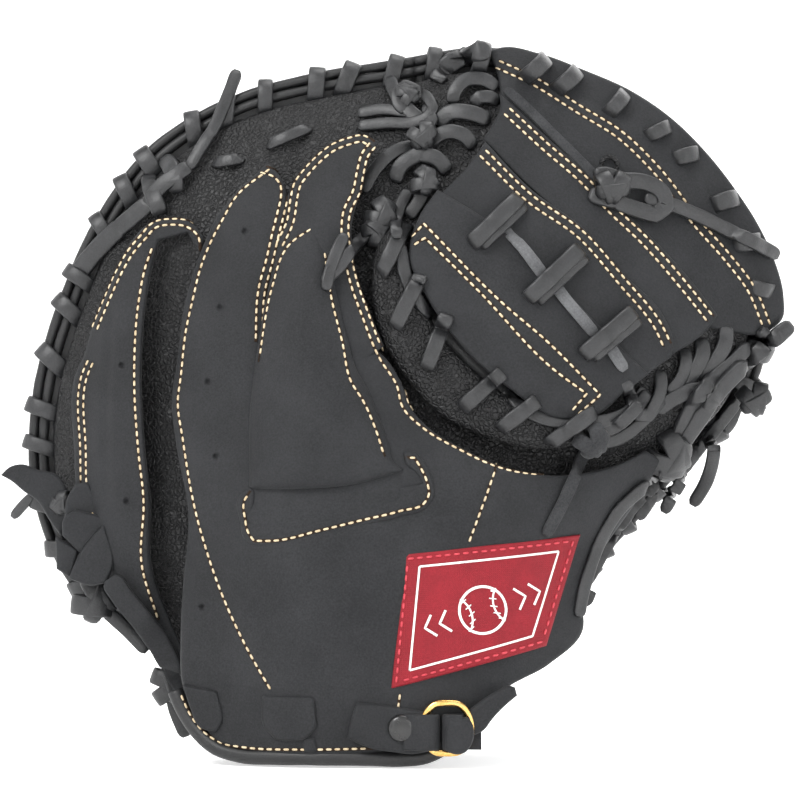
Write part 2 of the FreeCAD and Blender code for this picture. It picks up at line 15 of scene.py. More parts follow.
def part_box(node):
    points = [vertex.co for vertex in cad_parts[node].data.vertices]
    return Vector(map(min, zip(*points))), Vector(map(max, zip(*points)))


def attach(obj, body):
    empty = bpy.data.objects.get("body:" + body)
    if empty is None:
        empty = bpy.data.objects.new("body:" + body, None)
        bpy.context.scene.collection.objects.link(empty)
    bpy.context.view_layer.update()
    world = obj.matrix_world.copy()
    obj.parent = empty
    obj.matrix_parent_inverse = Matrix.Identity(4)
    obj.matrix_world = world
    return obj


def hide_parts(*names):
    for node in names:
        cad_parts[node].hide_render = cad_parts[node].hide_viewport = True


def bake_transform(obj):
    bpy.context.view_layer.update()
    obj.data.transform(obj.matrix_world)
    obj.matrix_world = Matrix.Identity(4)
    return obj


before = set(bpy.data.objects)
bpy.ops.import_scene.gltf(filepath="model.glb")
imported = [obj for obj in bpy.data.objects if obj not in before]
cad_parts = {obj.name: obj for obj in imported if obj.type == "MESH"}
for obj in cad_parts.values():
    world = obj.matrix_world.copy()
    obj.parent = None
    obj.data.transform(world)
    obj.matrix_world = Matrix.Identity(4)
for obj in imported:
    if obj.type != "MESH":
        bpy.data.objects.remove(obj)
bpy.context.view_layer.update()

MM = 0.001
Point = tuple[float, ...]
Face = Callable[[np.ndarray, np.ndarray], np.ndarray]
log = logging.getLogger("mitt")


def frame_shift() -> np.ndarray:
    """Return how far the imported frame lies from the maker's own origin, in mm, read off the snap's cap."""
    low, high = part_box("snap_cap")
    return np.array([(low[0] + high[0]) / MM / 2 - 0.5, high[1] / MM + 46.3, 0.0])


SHIFT = frame_shift()


class Body(str, Enum):
    """The moving bodies of the mitt."""

    HAND = "hand"
    PINKY = "pinky"
    THUMB = "thumb"
    TAB = "tab"
    RING = "ring"


# ------------------------------------------------------------------------------------------- surfaces


class Bowl:
    """The padded bowl of the mitt as a section that changes with the angle round the pocket's middle."""

    CENTRE = (1.0, 137.0)
    BACK = -14.0
    PAD = 10.0
    INSET = 9.0
    RADII = np.array([134, 146, 147, 144, 140, 137, 128, 127, 131, 135, 135, 136,
                      141, 146, 146, 136, 144, 137, 131, 123, 114, 102, 103, 112], float)
    STEPS = 260
    DISC = 150.0

    def __init__(self) -> None:
        """Tabulate the front section for every degree."""
        self.table = np.array([self._section_line(a) for a in range(360)])

    @staticmethod
    def _bump(angle: np.ndarray, middle: float, width: float) -> np.ndarray:
        """Return a cosine hump of 1 at middle that ends width degrees away."""
        away = np.abs((angle - middle + 180) % 360 - 180)
        return np.where(away < width, 0.5 * (1 + np.cos(np.pi * np.minimum(away, width) / width)), 0.0)

    def radius(self, angle: np.ndarray) -> np.ndarray:
        """Return the outline's radius at angles in degrees."""
        place = np.asarray(angle, float) % 360 / 360 * len(self.RADII)
        index = np.floor(place).astype(int)
        t = place - index
        a, b, c, d = (self.RADII[(index + k) % len(self.RADII)] for k in (-1, 0, 1, 2))
        return b + 0.5 * t * (c - a + t * (2 * a - 5 * b + 4 * c - d + t * (3 * (b - c) + d - a)))

    def section(self, angle: np.ndarray) -> dict[str, np.ndarray]:
        """Return depth of the side, height of the wall, powers and rim thickness at an angle."""
        angle = np.asarray(angle, float)
        heel, thumb, web = self._bump(angle, 262, 75), self._bump(angle, 325, 65), self._bump(angle, 40, 60)
        return {
            "side": 26 - 14 * thumb - 18 * heel - 6 * web,
            "wall": 10 + 62 * thumb + 34 * heel + 14 * web,
            "back_power": 2.4 + 2 * thumb + 1.5 * heel,
            "front_power": 3 + 9 * thumb + 3 * heel,
            "thick": 13 + 10 * thumb + 10 * heel + 2 * web,
        }

    def polar(self, x: np.ndarray, z: np.ndarray) -> tuple[np.ndarray, np.ndarray]:
        """Return angle in degrees and radius of points in the XZ plane."""
        across, up = np.asarray(x, float) - self.CENTRE[0], np.asarray(z, float) - self.CENTRE[1]
        return np.degrees(np.arctan2(up, across)), np.hypot(across, up)

    def back(self, x: np.ndarray, z: np.ndarray) -> np.ndarray:
        """Return Y of the bowl's back."""
        angle, r = self.polar(x, z)
        cut = self.section(angle)
        share = r / (self.radius(angle) - self.INSET)
        return self.BACK + (cut["side"] - self.BACK) * share ** cut["back_power"]

    def _section_line(self, angle: float) -> np.ndarray:
        """Return the smoothed front section (r, Y) at one angle, from the middle to the back."""
        cut = {key: float(value) for key, value in self.section(angle).items()}
        rim = float(self.radius(angle)) - self.INSET
        front, top = self.BACK + self.PAD, cut["side"] + cut["wall"]
        inner, thick = rim - cut["thick"], cut["thick"]
        shares = np.array([0, 0.15, 0.3, 0.5, 0.65, 0.8, 0.9, 0.97])
        line = [(s * inner, front + (top - 4 - front) * s ** cut["front_power"]) for s in shares]
        line += [(rim - 0.85 * thick, top - 1.5), (rim - 0.5 * thick, top),
                 (rim - 0.12 * thick - 1, top - 2.5),
                 (rim - 1, cut["side"] + 0.62 * cut["wall"]), (rim, cut["side"] + 0.25 * cut["wall"])]
        for s in (0.965, 0.93):
            line.append((s * rim, self.BACK + (cut["side"] - self.BACK) * s ** cut["back_power"]))
        line = np.array(line)
        for _ in range(3):
            line = chaikin(line)
        along = np.concatenate([[0], np.cumsum(np.hypot(*np.diff(line, axis=0).T))])
        at = np.linspace(0, along[-1], self.STEPS + 1)
        return np.stack([np.interp(at, along, line[:, k]) for k in (0, 1)], axis=1)

    def front(self, u: np.ndarray, v: np.ndarray) -> np.ndarray:
        """Map a disc to the palm's leather.

        Args:
            u: first coordinate in the disc, 0 in the middle of the pocket, DISC at the far edge.
            v: second coordinate in the disc.

        Returns:
            Points in mm, one row each.
        """
        angle = np.degrees(np.arctan2(v, u)) % 360
        step = np.clip(np.hypot(u, v) / self.DISC, 0, 1) * self.STEPS
        a0, s0 = np.floor(angle).astype(int), np.minimum(np.floor(step).astype(int), self.STEPS - 1)
        fa, fs = (angle - a0)[:, None], (step - s0)[:, None]
        a0, a1 = a0 % 360, (a0 + 1) % 360
        low = self.table[a0, s0] * (1 - fa) + self.table[a1, s0] * fa
        high = self.table[a0, s0 + 1] * (1 - fa) + self.table[a1, s0 + 1] * fa
        r, y = (low * (1 - fs) + high * fs).T
        turn = np.radians(angle)
        return np.stack([self.CENTRE[0] + r * np.cos(turn), y, self.CENTRE[1] + r * np.sin(turn)], axis=1)

    def disc_place(self, x: float, z: float) -> tuple[float, float]:
        """Return where in the disc the front leather passes over a point of the XZ plane."""
        angle, r = self.polar(x, z)
        line = self.table[int(round(float(angle))) % 360]
        top = int(np.argmax(line[:, 0]))
        step = float(np.interp(float(r), line[:top + 1, 0], np.arange(top + 1)))
        p, turn = step / self.STEPS * self.DISC, math.radians(float(angle))
        return p * math.cos(turn), p * math.sin(turn)

    def rim(self, angle: float, out: float = 0.0, forward: float = 0.0) -> Vector:
        """Return the middle of the rim's roll at an angle, moved out or forward, in mm."""
        cut = self.section(angle)
        r = float(self.radius(angle)) - 4.0 + out
        turn = math.radians(angle)
        y = float(cut["side"] + cut["wall"]) - 5 + forward
        return Vector((self.CENTRE[0] + r * math.cos(turn), y, self.CENTRE[1] + r * math.sin(turn)))


def chaikin(line: np.ndarray) -> np.ndarray:
    """Cut the corners of an open polyline once."""
    cut = np.stack([line[:-1] * 0.75 + line[1:] * 0.25, line[:-1] * 0.25 + line[1:] * 0.75], axis=1)
    return np.concatenate([line[:1], cut.reshape(-1, line.shape[1]), line[-1:]])


BOWL = Bowl()


def ease(value: np.ndarray) -> np.ndarray:
    """Ease from 0 to 1."""
    value = np.clip(value, 0, 1)
    return value * value * (3 - 2 * value)


def hand_face(x: np.ndarray, z: np.ndarray) -> np.ndarray:
    """Return Y inside the back of the hand."""
    deep = 9 + 15 * ease((190 - z) / 140)
    rise = deep * np.maximum(0.35, 1 - 0.55 * ((x + 5) / 85) ** 2)
    return BOWL.back(x, np.maximum(z, 80.0)) - rise


def pinky_face(x: np.ndarray, z: np.ndarray) -> np.ndarray:
    """Return Y inside the pinky stall's leather."""
    return BOWL.back(x, z) - 4.5 - 6 * np.exp(-((x + 104) / 16) ** 2)


def web_face(x: np.ndarray, z: np.ndarray) -> np.ndarray:
    """Return Y inside the web's back leather."""
    return BOWL.back(x, z) - 0.8 - 5 * ease((150 - x * 0.7 - z * 0.4) / 60)


def rough(points: np.ndarray, scale: float, seed: float = 0.0) -> np.ndarray:
    """Return smooth noise from -1 to 1 at points in mm, with features about scale mm wide."""
    return np.array([noise.noise(Vector(p) / scale + Vector((seed, seed * 1.7, seed * 0.3))) for p in points])


# ------------------------------------------------------------------------------------------- outlines


def smooth_line(points: Sequence[Point], step: float, closed: bool = False,
                corner: float = 48.0) -> np.ndarray:
    """Run a smooth curve through points, sharp where the line turns by more than corner degrees.

    Args:
        points: the points that the curve passes, in mm.
        step: about how far apart the returned points are.
        closed: whether the curve comes back to its first point.
        corner: turns above this stay sharp.

    Returns:
        Points along the curve; a closed one doesn't repeat its first.
    """
    p = np.array(points, float)
    n = len(p)
    before, after = np.roll(p, 1, axis=0), np.roll(p, -1, axis=0)
    if not closed:
        before[0], after[-1] = 2 * p[0] - p[1], 2 * p[-1] - p[-2]
    inward, outward = p - before, after - p
    li, lo = np.linalg.norm(inward, axis=1)[:, None], np.linalg.norm(outward, axis=1)[:, None]
    di, do = inward / np.maximum(li, 1e-9), outward / np.maximum(lo, 1e-9)
    sharp = (di * do).sum(1)[:, None] < math.cos(math.radians(corner))
    mean = di * lo + do * li
    mean /= np.maximum(np.linalg.norm(mean, axis=1)[:, None], 1e-9)
    leave, arrive = np.where(sharp, do, mean), np.where(sharp, di, mean)
    out = []
    for i in range(n if closed else n - 1):
        j = (i + 1) % n
        gap = float(np.linalg.norm(p[j] - p[i]))
        count = max(1, int(math.ceil(gap / step)))
        t = (np.arange(count) / count)[:, None]
        a, b = leave[i] * gap, arrive[j] * gap
        out.append((2 * t**3 - 3 * t**2 + 1) * p[i] + (t**3 - 2 * t**2 + t) * a
                   + (-2 * t**3 + 3 * t**2) * p[j] + (t**3 - t**2) * b)
    if not closed:
        out.append(p[-1:])
    return np.concatenate(out)


def inside(points: np.ndarray, outline: np.ndarray) -> np.ndarray:
    """Return which 2D points lie inside a closed outline."""
    x, z = points[:, 0], points[:, 1]
    result = np.zeros(len(points), bool)
    for (ax, az), (bx, bz) in zip(outline, np.roll(outline, -1, axis=0)):
        if az == bz:
            continue
        hit = ((az > z) != (bz > z)) & (x < (bx - ax) * (z - az) / (bz - az) + ax)
        result ^= hit
    return result


def edge_distance(points: np.ndarray, line: np.ndarray, closed: bool = True) -> np.ndarray:
    """Return the distance of 2D points from a polyline."""
    best = np.full(len(points), 1e9)
    ends = np.roll(line, -1, axis=0) if closed else line[1:]
    for a, b in zip(line if closed else line[:-1], ends):
        d = b - a
        t = np.clip(((points - a) @ d) / max(float(d @ d), 1e-12), 0, 1)
        best = np.minimum(best, np.hypot(*(points - a - t[:, None] * d).T))
    return best


def hex_grid(outline: np.ndarray, step: float) -> np.ndarray:
    """Return a hexagonal grid of points over an outline's box."""
    low, high = outline.min(0), outline.max(0)
    rows = np.arange(low[1], high[1], step * 0.866)
    columns = np.arange(low[0], high[0], step)
    return np.array([(x + (k % 2) * step / 2, z) for k, z in enumerate(rows) for x in columns])


def fill(outline: np.ndarray, step: float, rows: Sequence[float] = (),
         extra: Optional[np.ndarray] = None) -> tuple[np.ndarray, list, list]:
    """Fill an outline with even triangles.

    Args:
        outline: the closed outline.
        step: about how long the triangles' sides are.
        rows: distances from the outline at which extra rows of points follow it.
        extra: more points to include.

    Returns:
        The points, the triangles, and the numbers of the outline's own points, in order.
    """
    points = [hex_grid(outline, step)]
    tangent = np.roll(outline, -1, axis=0) - np.roll(outline, 1, axis=0)
    normal = np.stack([-tangent[:, 1], tangent[:, 0]], axis=1)
    normal /= np.maximum(np.hypot(*normal.T)[:, None], 1e-9)
    for depth in rows:
        for sign in (1, -1):
            row = outline + normal * depth * sign
            row = row[inside(row, outline)]
            points.append(row[edge_distance(row, outline) > depth * 0.92])
    clear = max(rows, default=0) + step * 0.5
    grid = points[0][inside(points[0], outline)]
    points[0] = grid[edge_distance(grid, outline) > clear]
    if extra is not None and len(extra):
        away = np.ones(len(points[0]), bool)
        for e in extra:
            away &= np.hypot(*(points[0] - e).T) > step * 0.45
        points[0] = points[0][away]
        points.append(extra)
    every = np.concatenate([outline] + points)
    n = len(outline)
    edges = [(k, (k + 1) % n) for k in range(n)]
    cut = geometry.delaunay_2d_cdt([Vector(p) for p in every], edges, [], 1, 1e-5)
    verts, _, tris, origins = cut[0], cut[1], cut[2], cut[3]
    if len(verts) != len(every):
        log.debug("the fill merged %d points", len(every) - len(verts))
    found = np.array([tuple(v) for v in verts])
    first = [k for k, source in enumerate(origins) if source and min(source) < n]
    order = sorted(first, key=lambda k: min(origins[k]))
    return found, [tuple(t) for t in tris], order


# ------------------------------------------------------------------------------------------- meshes


class Skin:
    """Every surface built so far, so that stitches and laces can be laid on top of it."""

    def __init__(self) -> None:
        """Start with no surfaces."""
        self.trees: dict[str, BVHTree] = {}

    def add(self, name: str, verts: np.ndarray, faces: Sequence) -> None:
        """Remember a surface in mm, in the maker's own place."""
        self.trees[name] = BVHTree.FromPolygons([Vector(v) for v in verts], faces)

    def top(self, x: float, z: float, only: Optional[Sequence[str]] = None,
            front: bool = False) -> tuple[float, Vector]:
        """Return Y and outward normal of the surface that shows at a point, from the back or the front."""
        way = Vector((0, -1, 0)) if front else Vector((0, 1, 0))
        start = Vector((x, 150.0 if front else -150.0, z))
        best = None
        for name, tree in self.trees.items():
            if only and name not in only:
                continue
            hit = tree.ray_cast(start, way)
            if hit[0] is not None and (best is None or (hit[0].y > best[0]) == front):
                best = (hit[0].y, hit[1])
        if best is None:
            return float(BOWL.back(np.array(x), np.array(z))), -way
        normal = best[1] if best[1].dot(way) < 0 else -best[1]
        return best[0], normal.normalized()


SKIN = Skin()


def new_mesh(name: str, verts: np.ndarray, faces: Sequence, material: bpy.types.Material,
             body: Body, replaces: Sequence[str] = ()) -> bpy.types.Object:
    """Make one piece from points in mm in the maker's own place, and say what it rides on and stands for."""
    mesh = bpy.data.meshes.new(name)
    mesh.from_pydata(((np.asarray(verts, float) + SHIFT) * MM).tolist(), [], [list(f) for f in faces])
    mesh.validate()
    mesh.shade_smooth()
    piece = bpy.data.objects.new(name, mesh)
    bpy.context.scene.collection.objects.link(piece)
    mesh.materials.append(material)
    if body is not None:
        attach(piece, body.value)
    present = [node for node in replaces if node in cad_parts]
    if present:
        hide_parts(*present)
    log.info("%s: %d points", name, len(mesh.vertices))
    return piece


def sharpen(piece: bpy.types.Object, degrees: float = 50.0) -> None:
    """Keep edges sharper than an angle crisp."""
    with bpy.context.temp_override(object=piece, selected_objects=[piece], selected_editable_objects=[piece],
                                   active_object=piece):
        piece.data.set_sharp_from_angle(angle=math.radians(degrees))


@dataclass
class Leather:
    """A flat leather piece that lies on a curved face.

    The edge is rolled over, the middle may be crowned, and grooves, ridges and small holes are pressed in.
    """

    name: str
    outline: Sequence[Point]
    face: Face
    nodes: Sequence[str]
    body: Body = Body.HAND
    lift: float = 0.0
    thick: float = 2.4
    edge: float = 1.3
    puff: float = 0.0
    puff_width: float = 14.0
    step: float = 2.2
    grooves: Sequence[tuple] = ()
    holes: Sequence[Point] = ()
    ripple: float = 0.35
    slot: str = "leather"
    shape: Optional[Callable] = None

    def height(self, flat: np.ndarray, outline: np.ndarray) -> np.ndarray:
        """Return how far each point of the outer side stands off the face."""
        away = edge_distance(flat, outline)
        roll = np.sqrt(np.clip(1 - (1 - np.clip(away / self.edge, 0, 1)) ** 2, 0, 1))
        height = self.lift + self.thick * (0.25 + 0.75 * roll)
        height += self.puff * (1 - np.exp(-away / self.puff_width))
        wide = np.stack([flat[:, 0], flat[:, 1], np.zeros(len(flat))], axis=1)
        height += self.ripple * rough(wide, 26.0, len(self.name)) * np.clip(away / 6, 0, 1)
        height += 0.3 * self.ripple * rough(wide, 9.0, 7.0) * np.clip(away / 6, 0, 1)
        for line, depth, width in self.grooves:
            near = edge_distance(flat, smooth_line(line, 2.0), closed=False)
            height -= depth * np.exp(-((near / width) ** 2))
        for x, z in self.holes:
            near = np.hypot(flat[:, 0] - x, flat[:, 1] - z)
            height -= 1.5 * np.exp(-((near / 1.0) ** 4)) - 0.25 * np.exp(-(((near - 1.9) / 0.7) ** 2))
        if self.shape is not None:
            height += self.shape(flat[:, 0], flat[:, 1])
        return height

    def around_holes(self, outline: np.ndarray) -> np.ndarray:
        """Return fine rings of points round each small hole."""
        rings = [(x + r * math.cos(a), z + r * math.sin(a)) for x, z in self.holes
                 for r in (0.0, 0.55, 1.0, 1.5, 2.2) for a in np.arange(0, 2 * math.pi,
                                                                        math.pi / 6)[:1 if r == 0 else 12]]
        return np.array(rings) if rings else np.zeros((0, 2))

    def build(self, material: bpy.types.Material) -> bpy.types.Object:
        """Make the piece as a closed mesh."""
        outline = smooth_line(self.outline, self.step * 0.8, closed=True)
        rows = [r for r in (0.35, 0.8, self.edge * 1.15) if r < self.step * 1.2]
        flat, tris, loop = fill(outline, self.step, rows, self.around_holes(outline))
        base = self.face(flat[:, 0], flat[:, 1])
        outer = base - self.height(flat, outline)
        inner = base - self.lift
        top = np.stack([flat[:, 0], outer, flat[:, 1]], axis=1)
        low = np.stack([flat[:, 0], inner, flat[:, 1]], axis=1)
        n = len(flat)
        faces = [self._facing(top, t) for t in tris]
        faces += [tuple(n + k for k in reversed(f)) for f in faces[:len(tris)]]
        pairs = list(zip(loop, loop[1:] + loop[:1]))
        flip = self._clockwise(flat[loop])
        for a, b in pairs:
            faces.append((a, b, n + b, n + a) if flip else (b, a, n + a, n + b))
        SKIN.add(self.name, top, tris)
        return new_mesh(self.name, np.concatenate([top, low]), faces, material, self.body, self.nodes)

    @staticmethod
    def _facing(points: np.ndarray, tri: tuple) -> tuple:
        """Turn a triangle to face -Y."""
        a, b, c = (points[k] for k in tri)
        return tri if np.cross(b - a, c - a)[1] < 0 else tri[::-1]

    @staticmethod
    def _clockwise(loop: np.ndarray) -> bool:
        """Return whether a loop of 2D points runs clockwise."""
        after = np.roll(loop, -1, axis=0)
        return float((loop[:, 0] * after[:, 1] - after[:, 0] * loop[:, 1]).sum()) < 0


def sweep(points: np.ndarray, ups: np.ndarray, section: np.ndarray, closed: bool = False,
          scale: Optional[np.ndarray] = None) -> tuple[np.ndarray, list]:
    """Sweep a closed section along a line.

    Args:
        points: the line, in mm.
        ups: the direction of the section's second axis at each point.
        section: the section's (side, up) points.
        closed: whether the line is a loop.
        scale: size of the section at each point.

    Returns:
        The points and faces of the swept mesh, with its ends closed.
    """
    before, after = np.roll(points, 1, axis=0), np.roll(points, -1, axis=0)
    if not closed:
        before[0], after[-1] = points[0], points[-1]
    along = after - before
    along /= np.maximum(np.linalg.norm(along, axis=1)[:, None], 1e-9)
    side = np.cross(along, ups)
    side /= np.maximum(np.linalg.norm(side, axis=1)[:, None], 1e-9)
    up = np.cross(side, along)
    size = np.ones(len(points)) if scale is None else scale
    k = len(section)
    verts = (points[:, None, :] + side[:, None, :] * section[None, :, :1] * size[:, None, None]
             + up[:, None, :] * section[None, :, 1:] * size[:, None, None]).reshape(-1, 3)
    faces = []
    count = len(points)
    for i in range(count if closed else count - 1):
        a, b = i * k, ((i + 1) % count) * k
        faces += [(a + j, a + (j + 1) % k, b + (j + 1) % k, b + j) for j in range(k)]
    if not closed:
        faces.append(tuple(range(k))[::-1])
        faces.append(tuple((count - 1) * k + j for j in range(k)))
    return verts, faces


def flat_section(width: float, thick: float, count: int = 12) -> np.ndarray:
    """Return a lace's section: flat, with soft corners and a slight crown."""
    angles = np.arange(count) / count * 2 * np.pi
    c, s = np.cos(angles), np.sin(angles)
    power = 0.45
    return np.stack([np.sign(c) * np.abs(c) ** power * width / 2,
                     np.sign(s) * np.abs(s) ** power * thick / 2], axis=1)


def round_section(radius: float, count: int = 12) -> np.ndarray:
    """Return a circle."""
    angles = np.arange(count) / count * 2 * np.pi
    return np.stack([np.cos(angles), np.sin(angles)], axis=1) * radius


class Heap:
    """Meshes gathered to become one piece."""

    def __init__(self) -> None:
        """Start empty."""
        self.verts: list[np.ndarray] = []
        self.faces: list[tuple] = []
        self.count = 0

    def add(self, verts: np.ndarray, faces: Sequence[tuple]) -> None:
        """Add one mesh."""
        self.verts.append(np.asarray(verts, float))
        self.faces += [tuple(k + self.count for k in f) for f in faces]
        self.count += len(verts)

    def make(self, name: str, material: bpy.types.Material, body: Body, nodes: Sequence[str] = (),
             slot: Optional[str] = None, skin: bool = False) -> bpy.types.Object:
        """Turn the heap into one piece."""
        verts = np.concatenate(self.verts)
        if skin:
            SKIN.add(name, verts, self.faces)
        return new_mesh(name, verts, self.faces, material, body, nodes)


LACE = (5.4, 2.3)


def lace_line(points: np.ndarray, ups: np.ndarray, width: float = LACE[0], thick: float = LACE[1],
              tip: bool = True, wobble: float = 0.18) -> tuple[np.ndarray, list]:
    """Sweep a flat lace along a fine line, with rounded tips and slight unevenness."""
    count = len(points)
    size = np.ones(count)
    if tip:
        size[0] = size[-1] = 0.55
        size[1] = size[-2] = 0.9
    uneven = rough(points, 7.0, 3.0)
    size *= 1 + wobble * 0.35 * uneven
    return sweep(points, ups, flat_section(width, thick), scale=size)


def on_top(path: Sequence[Point], only: Optional[Sequence[str]] = None, step: float = 1.4,
           front: bool = False) -> tuple[np.ndarray, np.ndarray]:
    """Lay a path of (X, Z, lift) on the surface that shows.

    Args:
        path: given points: X, Z and height over the surface.
        only: names of the surfaces that count.
        step: spacing of the returned points.
        front: lay it on the pocket's side.

    Returns:
        Points in mm and the surface's normals there.
    """
    fine = smooth_line(path, step)
    sign = 1.0 if front else -1.0
    tops = [SKIN.top(float(x), float(z), only, front) for x, z, _ in fine]
    ys = np.array([t[0] for t in tops])
    kernel = np.array([1, 2, 3, 2, 1], float)
    for _ in range(2):
        padded = np.concatenate([np.full(2, ys[0]), ys, np.full(2, ys[-1])])
        eased = np.convolve(padded, kernel / kernel.sum(), mode="valid")
        ys = np.maximum(eased, ys) if front else np.minimum(eased, ys)
    normals = np.array([tuple(t[1]) for t in tops])
    normals[:, 1] += 0.8 * sign
    points = np.stack([fine[:, 0], ys + sign * fine[:, 2], fine[:, 1]], axis=1)
    return points, normals


def lay_lace(heap: Heap, path: Sequence[Point], width: float = LACE[0], thick: float = LACE[1],
             only: Optional[Sequence[str]] = None, front: bool = False, twist: float = 0.0) -> None:
    """Lay a flat lace along a path of (X, Z, lift) and add it to a heap."""
    points, ups = on_top(path, only, front=front)
    if twist:
        along = np.gradient(points, axis=0)
        along /= np.linalg.norm(along, axis=1)[:, None]
        side = np.cross(along, ups)
        side /= np.linalg.norm(side, axis=1)[:, None]
        turn = np.radians(np.linspace(0, twist, len(points)))[:, None]
        flat = ups / np.linalg.norm(ups, axis=1)[:, None]
        ups = flat * np.cos(turn) + side * np.sin(turn)
    heap.add(*lace_line(points, ups, width, thick))


def band(heap: Heap, middle: Vector, axis: Vector, up: Vector, wide: float, high: float, start: float = 0.0,
         stop: float = 360.0, lean: float = 0.0, width: float = LACE[0], thick: float = LACE[1]) -> None:
    """Wind a flat lace round an axis.

    Args:
        heap: where the lace goes.
        middle: centre of the turn, in mm.
        axis: direction that the lace goes round.
        up: direction of angle 0.
        wide: radius along up.
        high: radius across up.
        start: first angle in degrees.
        stop: last angle in degrees.
        lean: how far the lace moves along the axis from start to stop.
        width: the lace's width.
        thick: the lace's thickness.
    """
    axis = axis.normalized()
    up = (up - axis * up.dot(axis)).normalized()
    side = axis.cross(up)
    full = abs(stop - start) >= 359.9
    count = max(8, int(abs(stop - start) / 15))
    angles = np.radians(np.linspace(start, stop, count + (0 if full else 1), endpoint=not full))
    shares = np.linspace(-0.5, 0.5, len(angles))
    points = np.array([tuple(middle + up * (wide * math.cos(a)) + side * (high * math.sin(a))
                             + axis * (lean * s))
                       for a, s in zip(angles, shares)])
    ups = np.array([tuple(up * (math.cos(a) / wide) + side * (math.sin(a) / high)) for a in angles])
    if full:
        heap.add(*sweep(points, ups, flat_section(width, thick), closed=True))
    else:
        heap.add(*lace_line(points, ups, width, thick, wobble=0.1))


def knot(heap: Heap, x: float, z: float, lift: float, angle: float, size: float = 1.0,
         only: Optional[Sequence[str]] = None) -> None:
    """Tie a lump of two crossed turns at a point of the back, along a direction in degrees."""
    y, normal = SKIN.top(x, z, only)
    normal = (normal + Vector((0, -0.8, 0))).normalized()
    middle = Vector((x, y - lift, z))
    turn = math.radians(angle)
    along = Vector((math.cos(turn), 0, math.sin(turn)))
    along = (along - normal * along.dot(normal)).normalized()
    side = normal.cross(along)
    for sway, shift in ((24, -1.5), (-30, 1.6)):
        axis = along * math.cos(math.radians(sway)) + side * math.sin(math.radians(sway))
        band(heap, middle + along * (shift * size), axis, normal, 3.1 * size, 4.6 * size,
             width=LACE[0] * size, thick=LACE[1] * size)
    band(heap, middle, side + normal * 0.4, normal, 3.4 * size, 5.6 * size, -70, 80, 2.0,
         LACE[0] * size * 0.9, LACE[1] * size)


# Material of the dark brown strips under the stitches: painted shadow of the thread.
THREAD_SHADOW_PAINT: list[bpy.types.Material] = []


def stitches(name: str, lines: Sequence[Sequence[Point]], material: bpy.types.Material, body: Body,
             only: Optional[Sequence[str]] = None, pitch: float = 3.15, length: float = 2.2,
             radius: float = 0.42, offsets: Sequence[float] = (0.0,), painted_shadow: bool = True) -> bpy.types.Object:
    """Sew rows of thread along lines of the back.

    Args:
        name: the piece's name.
        lines: given (X, Z) points of each row.
        material: the thread.
        body: what the thread rides on.
        only: names of the surfaces that the thread is sewn to.
        pitch: distance from stitch to stitch.
        length: what shows of each stitch.
        radius: half the thread's thickness.
        offsets: sideways shifts, one for each parallel row.
        painted_shadow: whether a dark brown strip lies under the thread as its painted shadow.

    Returns:
        The piece.
    """
    heap, shadow = Heap(), Heap()
    ring = round_section(radius, 6)
    for line in lines:
        fine = smooth_line(line, 0.5)
        for offset in offsets:
            tangent = np.gradient(fine, axis=0)
            tangent /= np.maximum(np.hypot(*tangent.T)[:, None], 1e-9)
            row = fine + np.stack([-tangent[:, 1], tangent[:, 0]], axis=1) * offset
            along = np.concatenate([[0], np.cumsum(np.hypot(*np.diff(row, axis=0).T))])
            # A dark brown strip under the row: painted shadow of the thread.
            if painted_shadow:
                low = np.array([(x, SKIN.top(float(x), float(z), only)[0] - 0.02, z) for x, z in row[::3]])
                shadow.add(*sweep(low, np.tile([0.0, -1.0, 0.02], (len(low), 1)),
                                  flat_section(1.25, 0.22, 8)))
            for k in range(int((along[-1] - length) / pitch) + 1):
                spots = k * pitch + np.array([0, 0.2, 0.5, 0.8, 1.0]) * length
                xs, zs = np.interp(spots, along, row[:, 0]), np.interp(spots, along, row[:, 1])
                lifts = np.array([-0.45, 0.12, 0.28, 0.12, -0.45])
                ends = [SKIN.top(float(xs[i]), float(zs[i]), only)[0] for i in (0, 4)]
                ys = np.interp([0, 0.2, 0.5, 0.8, 1.0], [0, 1], ends) - lifts
                points = np.stack([xs, ys, zs], axis=1)
                heap.add(*sweep(points, np.tile([0.0, -1.0, 0.05], (5, 1)), ring,
                                scale=np.array([0.6, 1, 1, 1, 0.6])))
    if painted_shadow:
        shadow.make(f"{name}_bed", THREAD_SHADOW_PAINT[0], body)
    return heap.make(name, material, body)


def parallel(line: Sequence[Point], offset: float) -> np.ndarray:
    """Return a line moved sideways."""
    fine = smooth_line(line, 2.0)
    tangent = np.gradient(fine, axis=0)
    tangent /= np.maximum(np.hypot(*tangent.T)[:, None], 1e-9)
    return fine + np.stack([-tangent[:, 1], tangent[:, 0]], axis=1) * offset


# ------------------------------------------------------------------------------------------- finishes


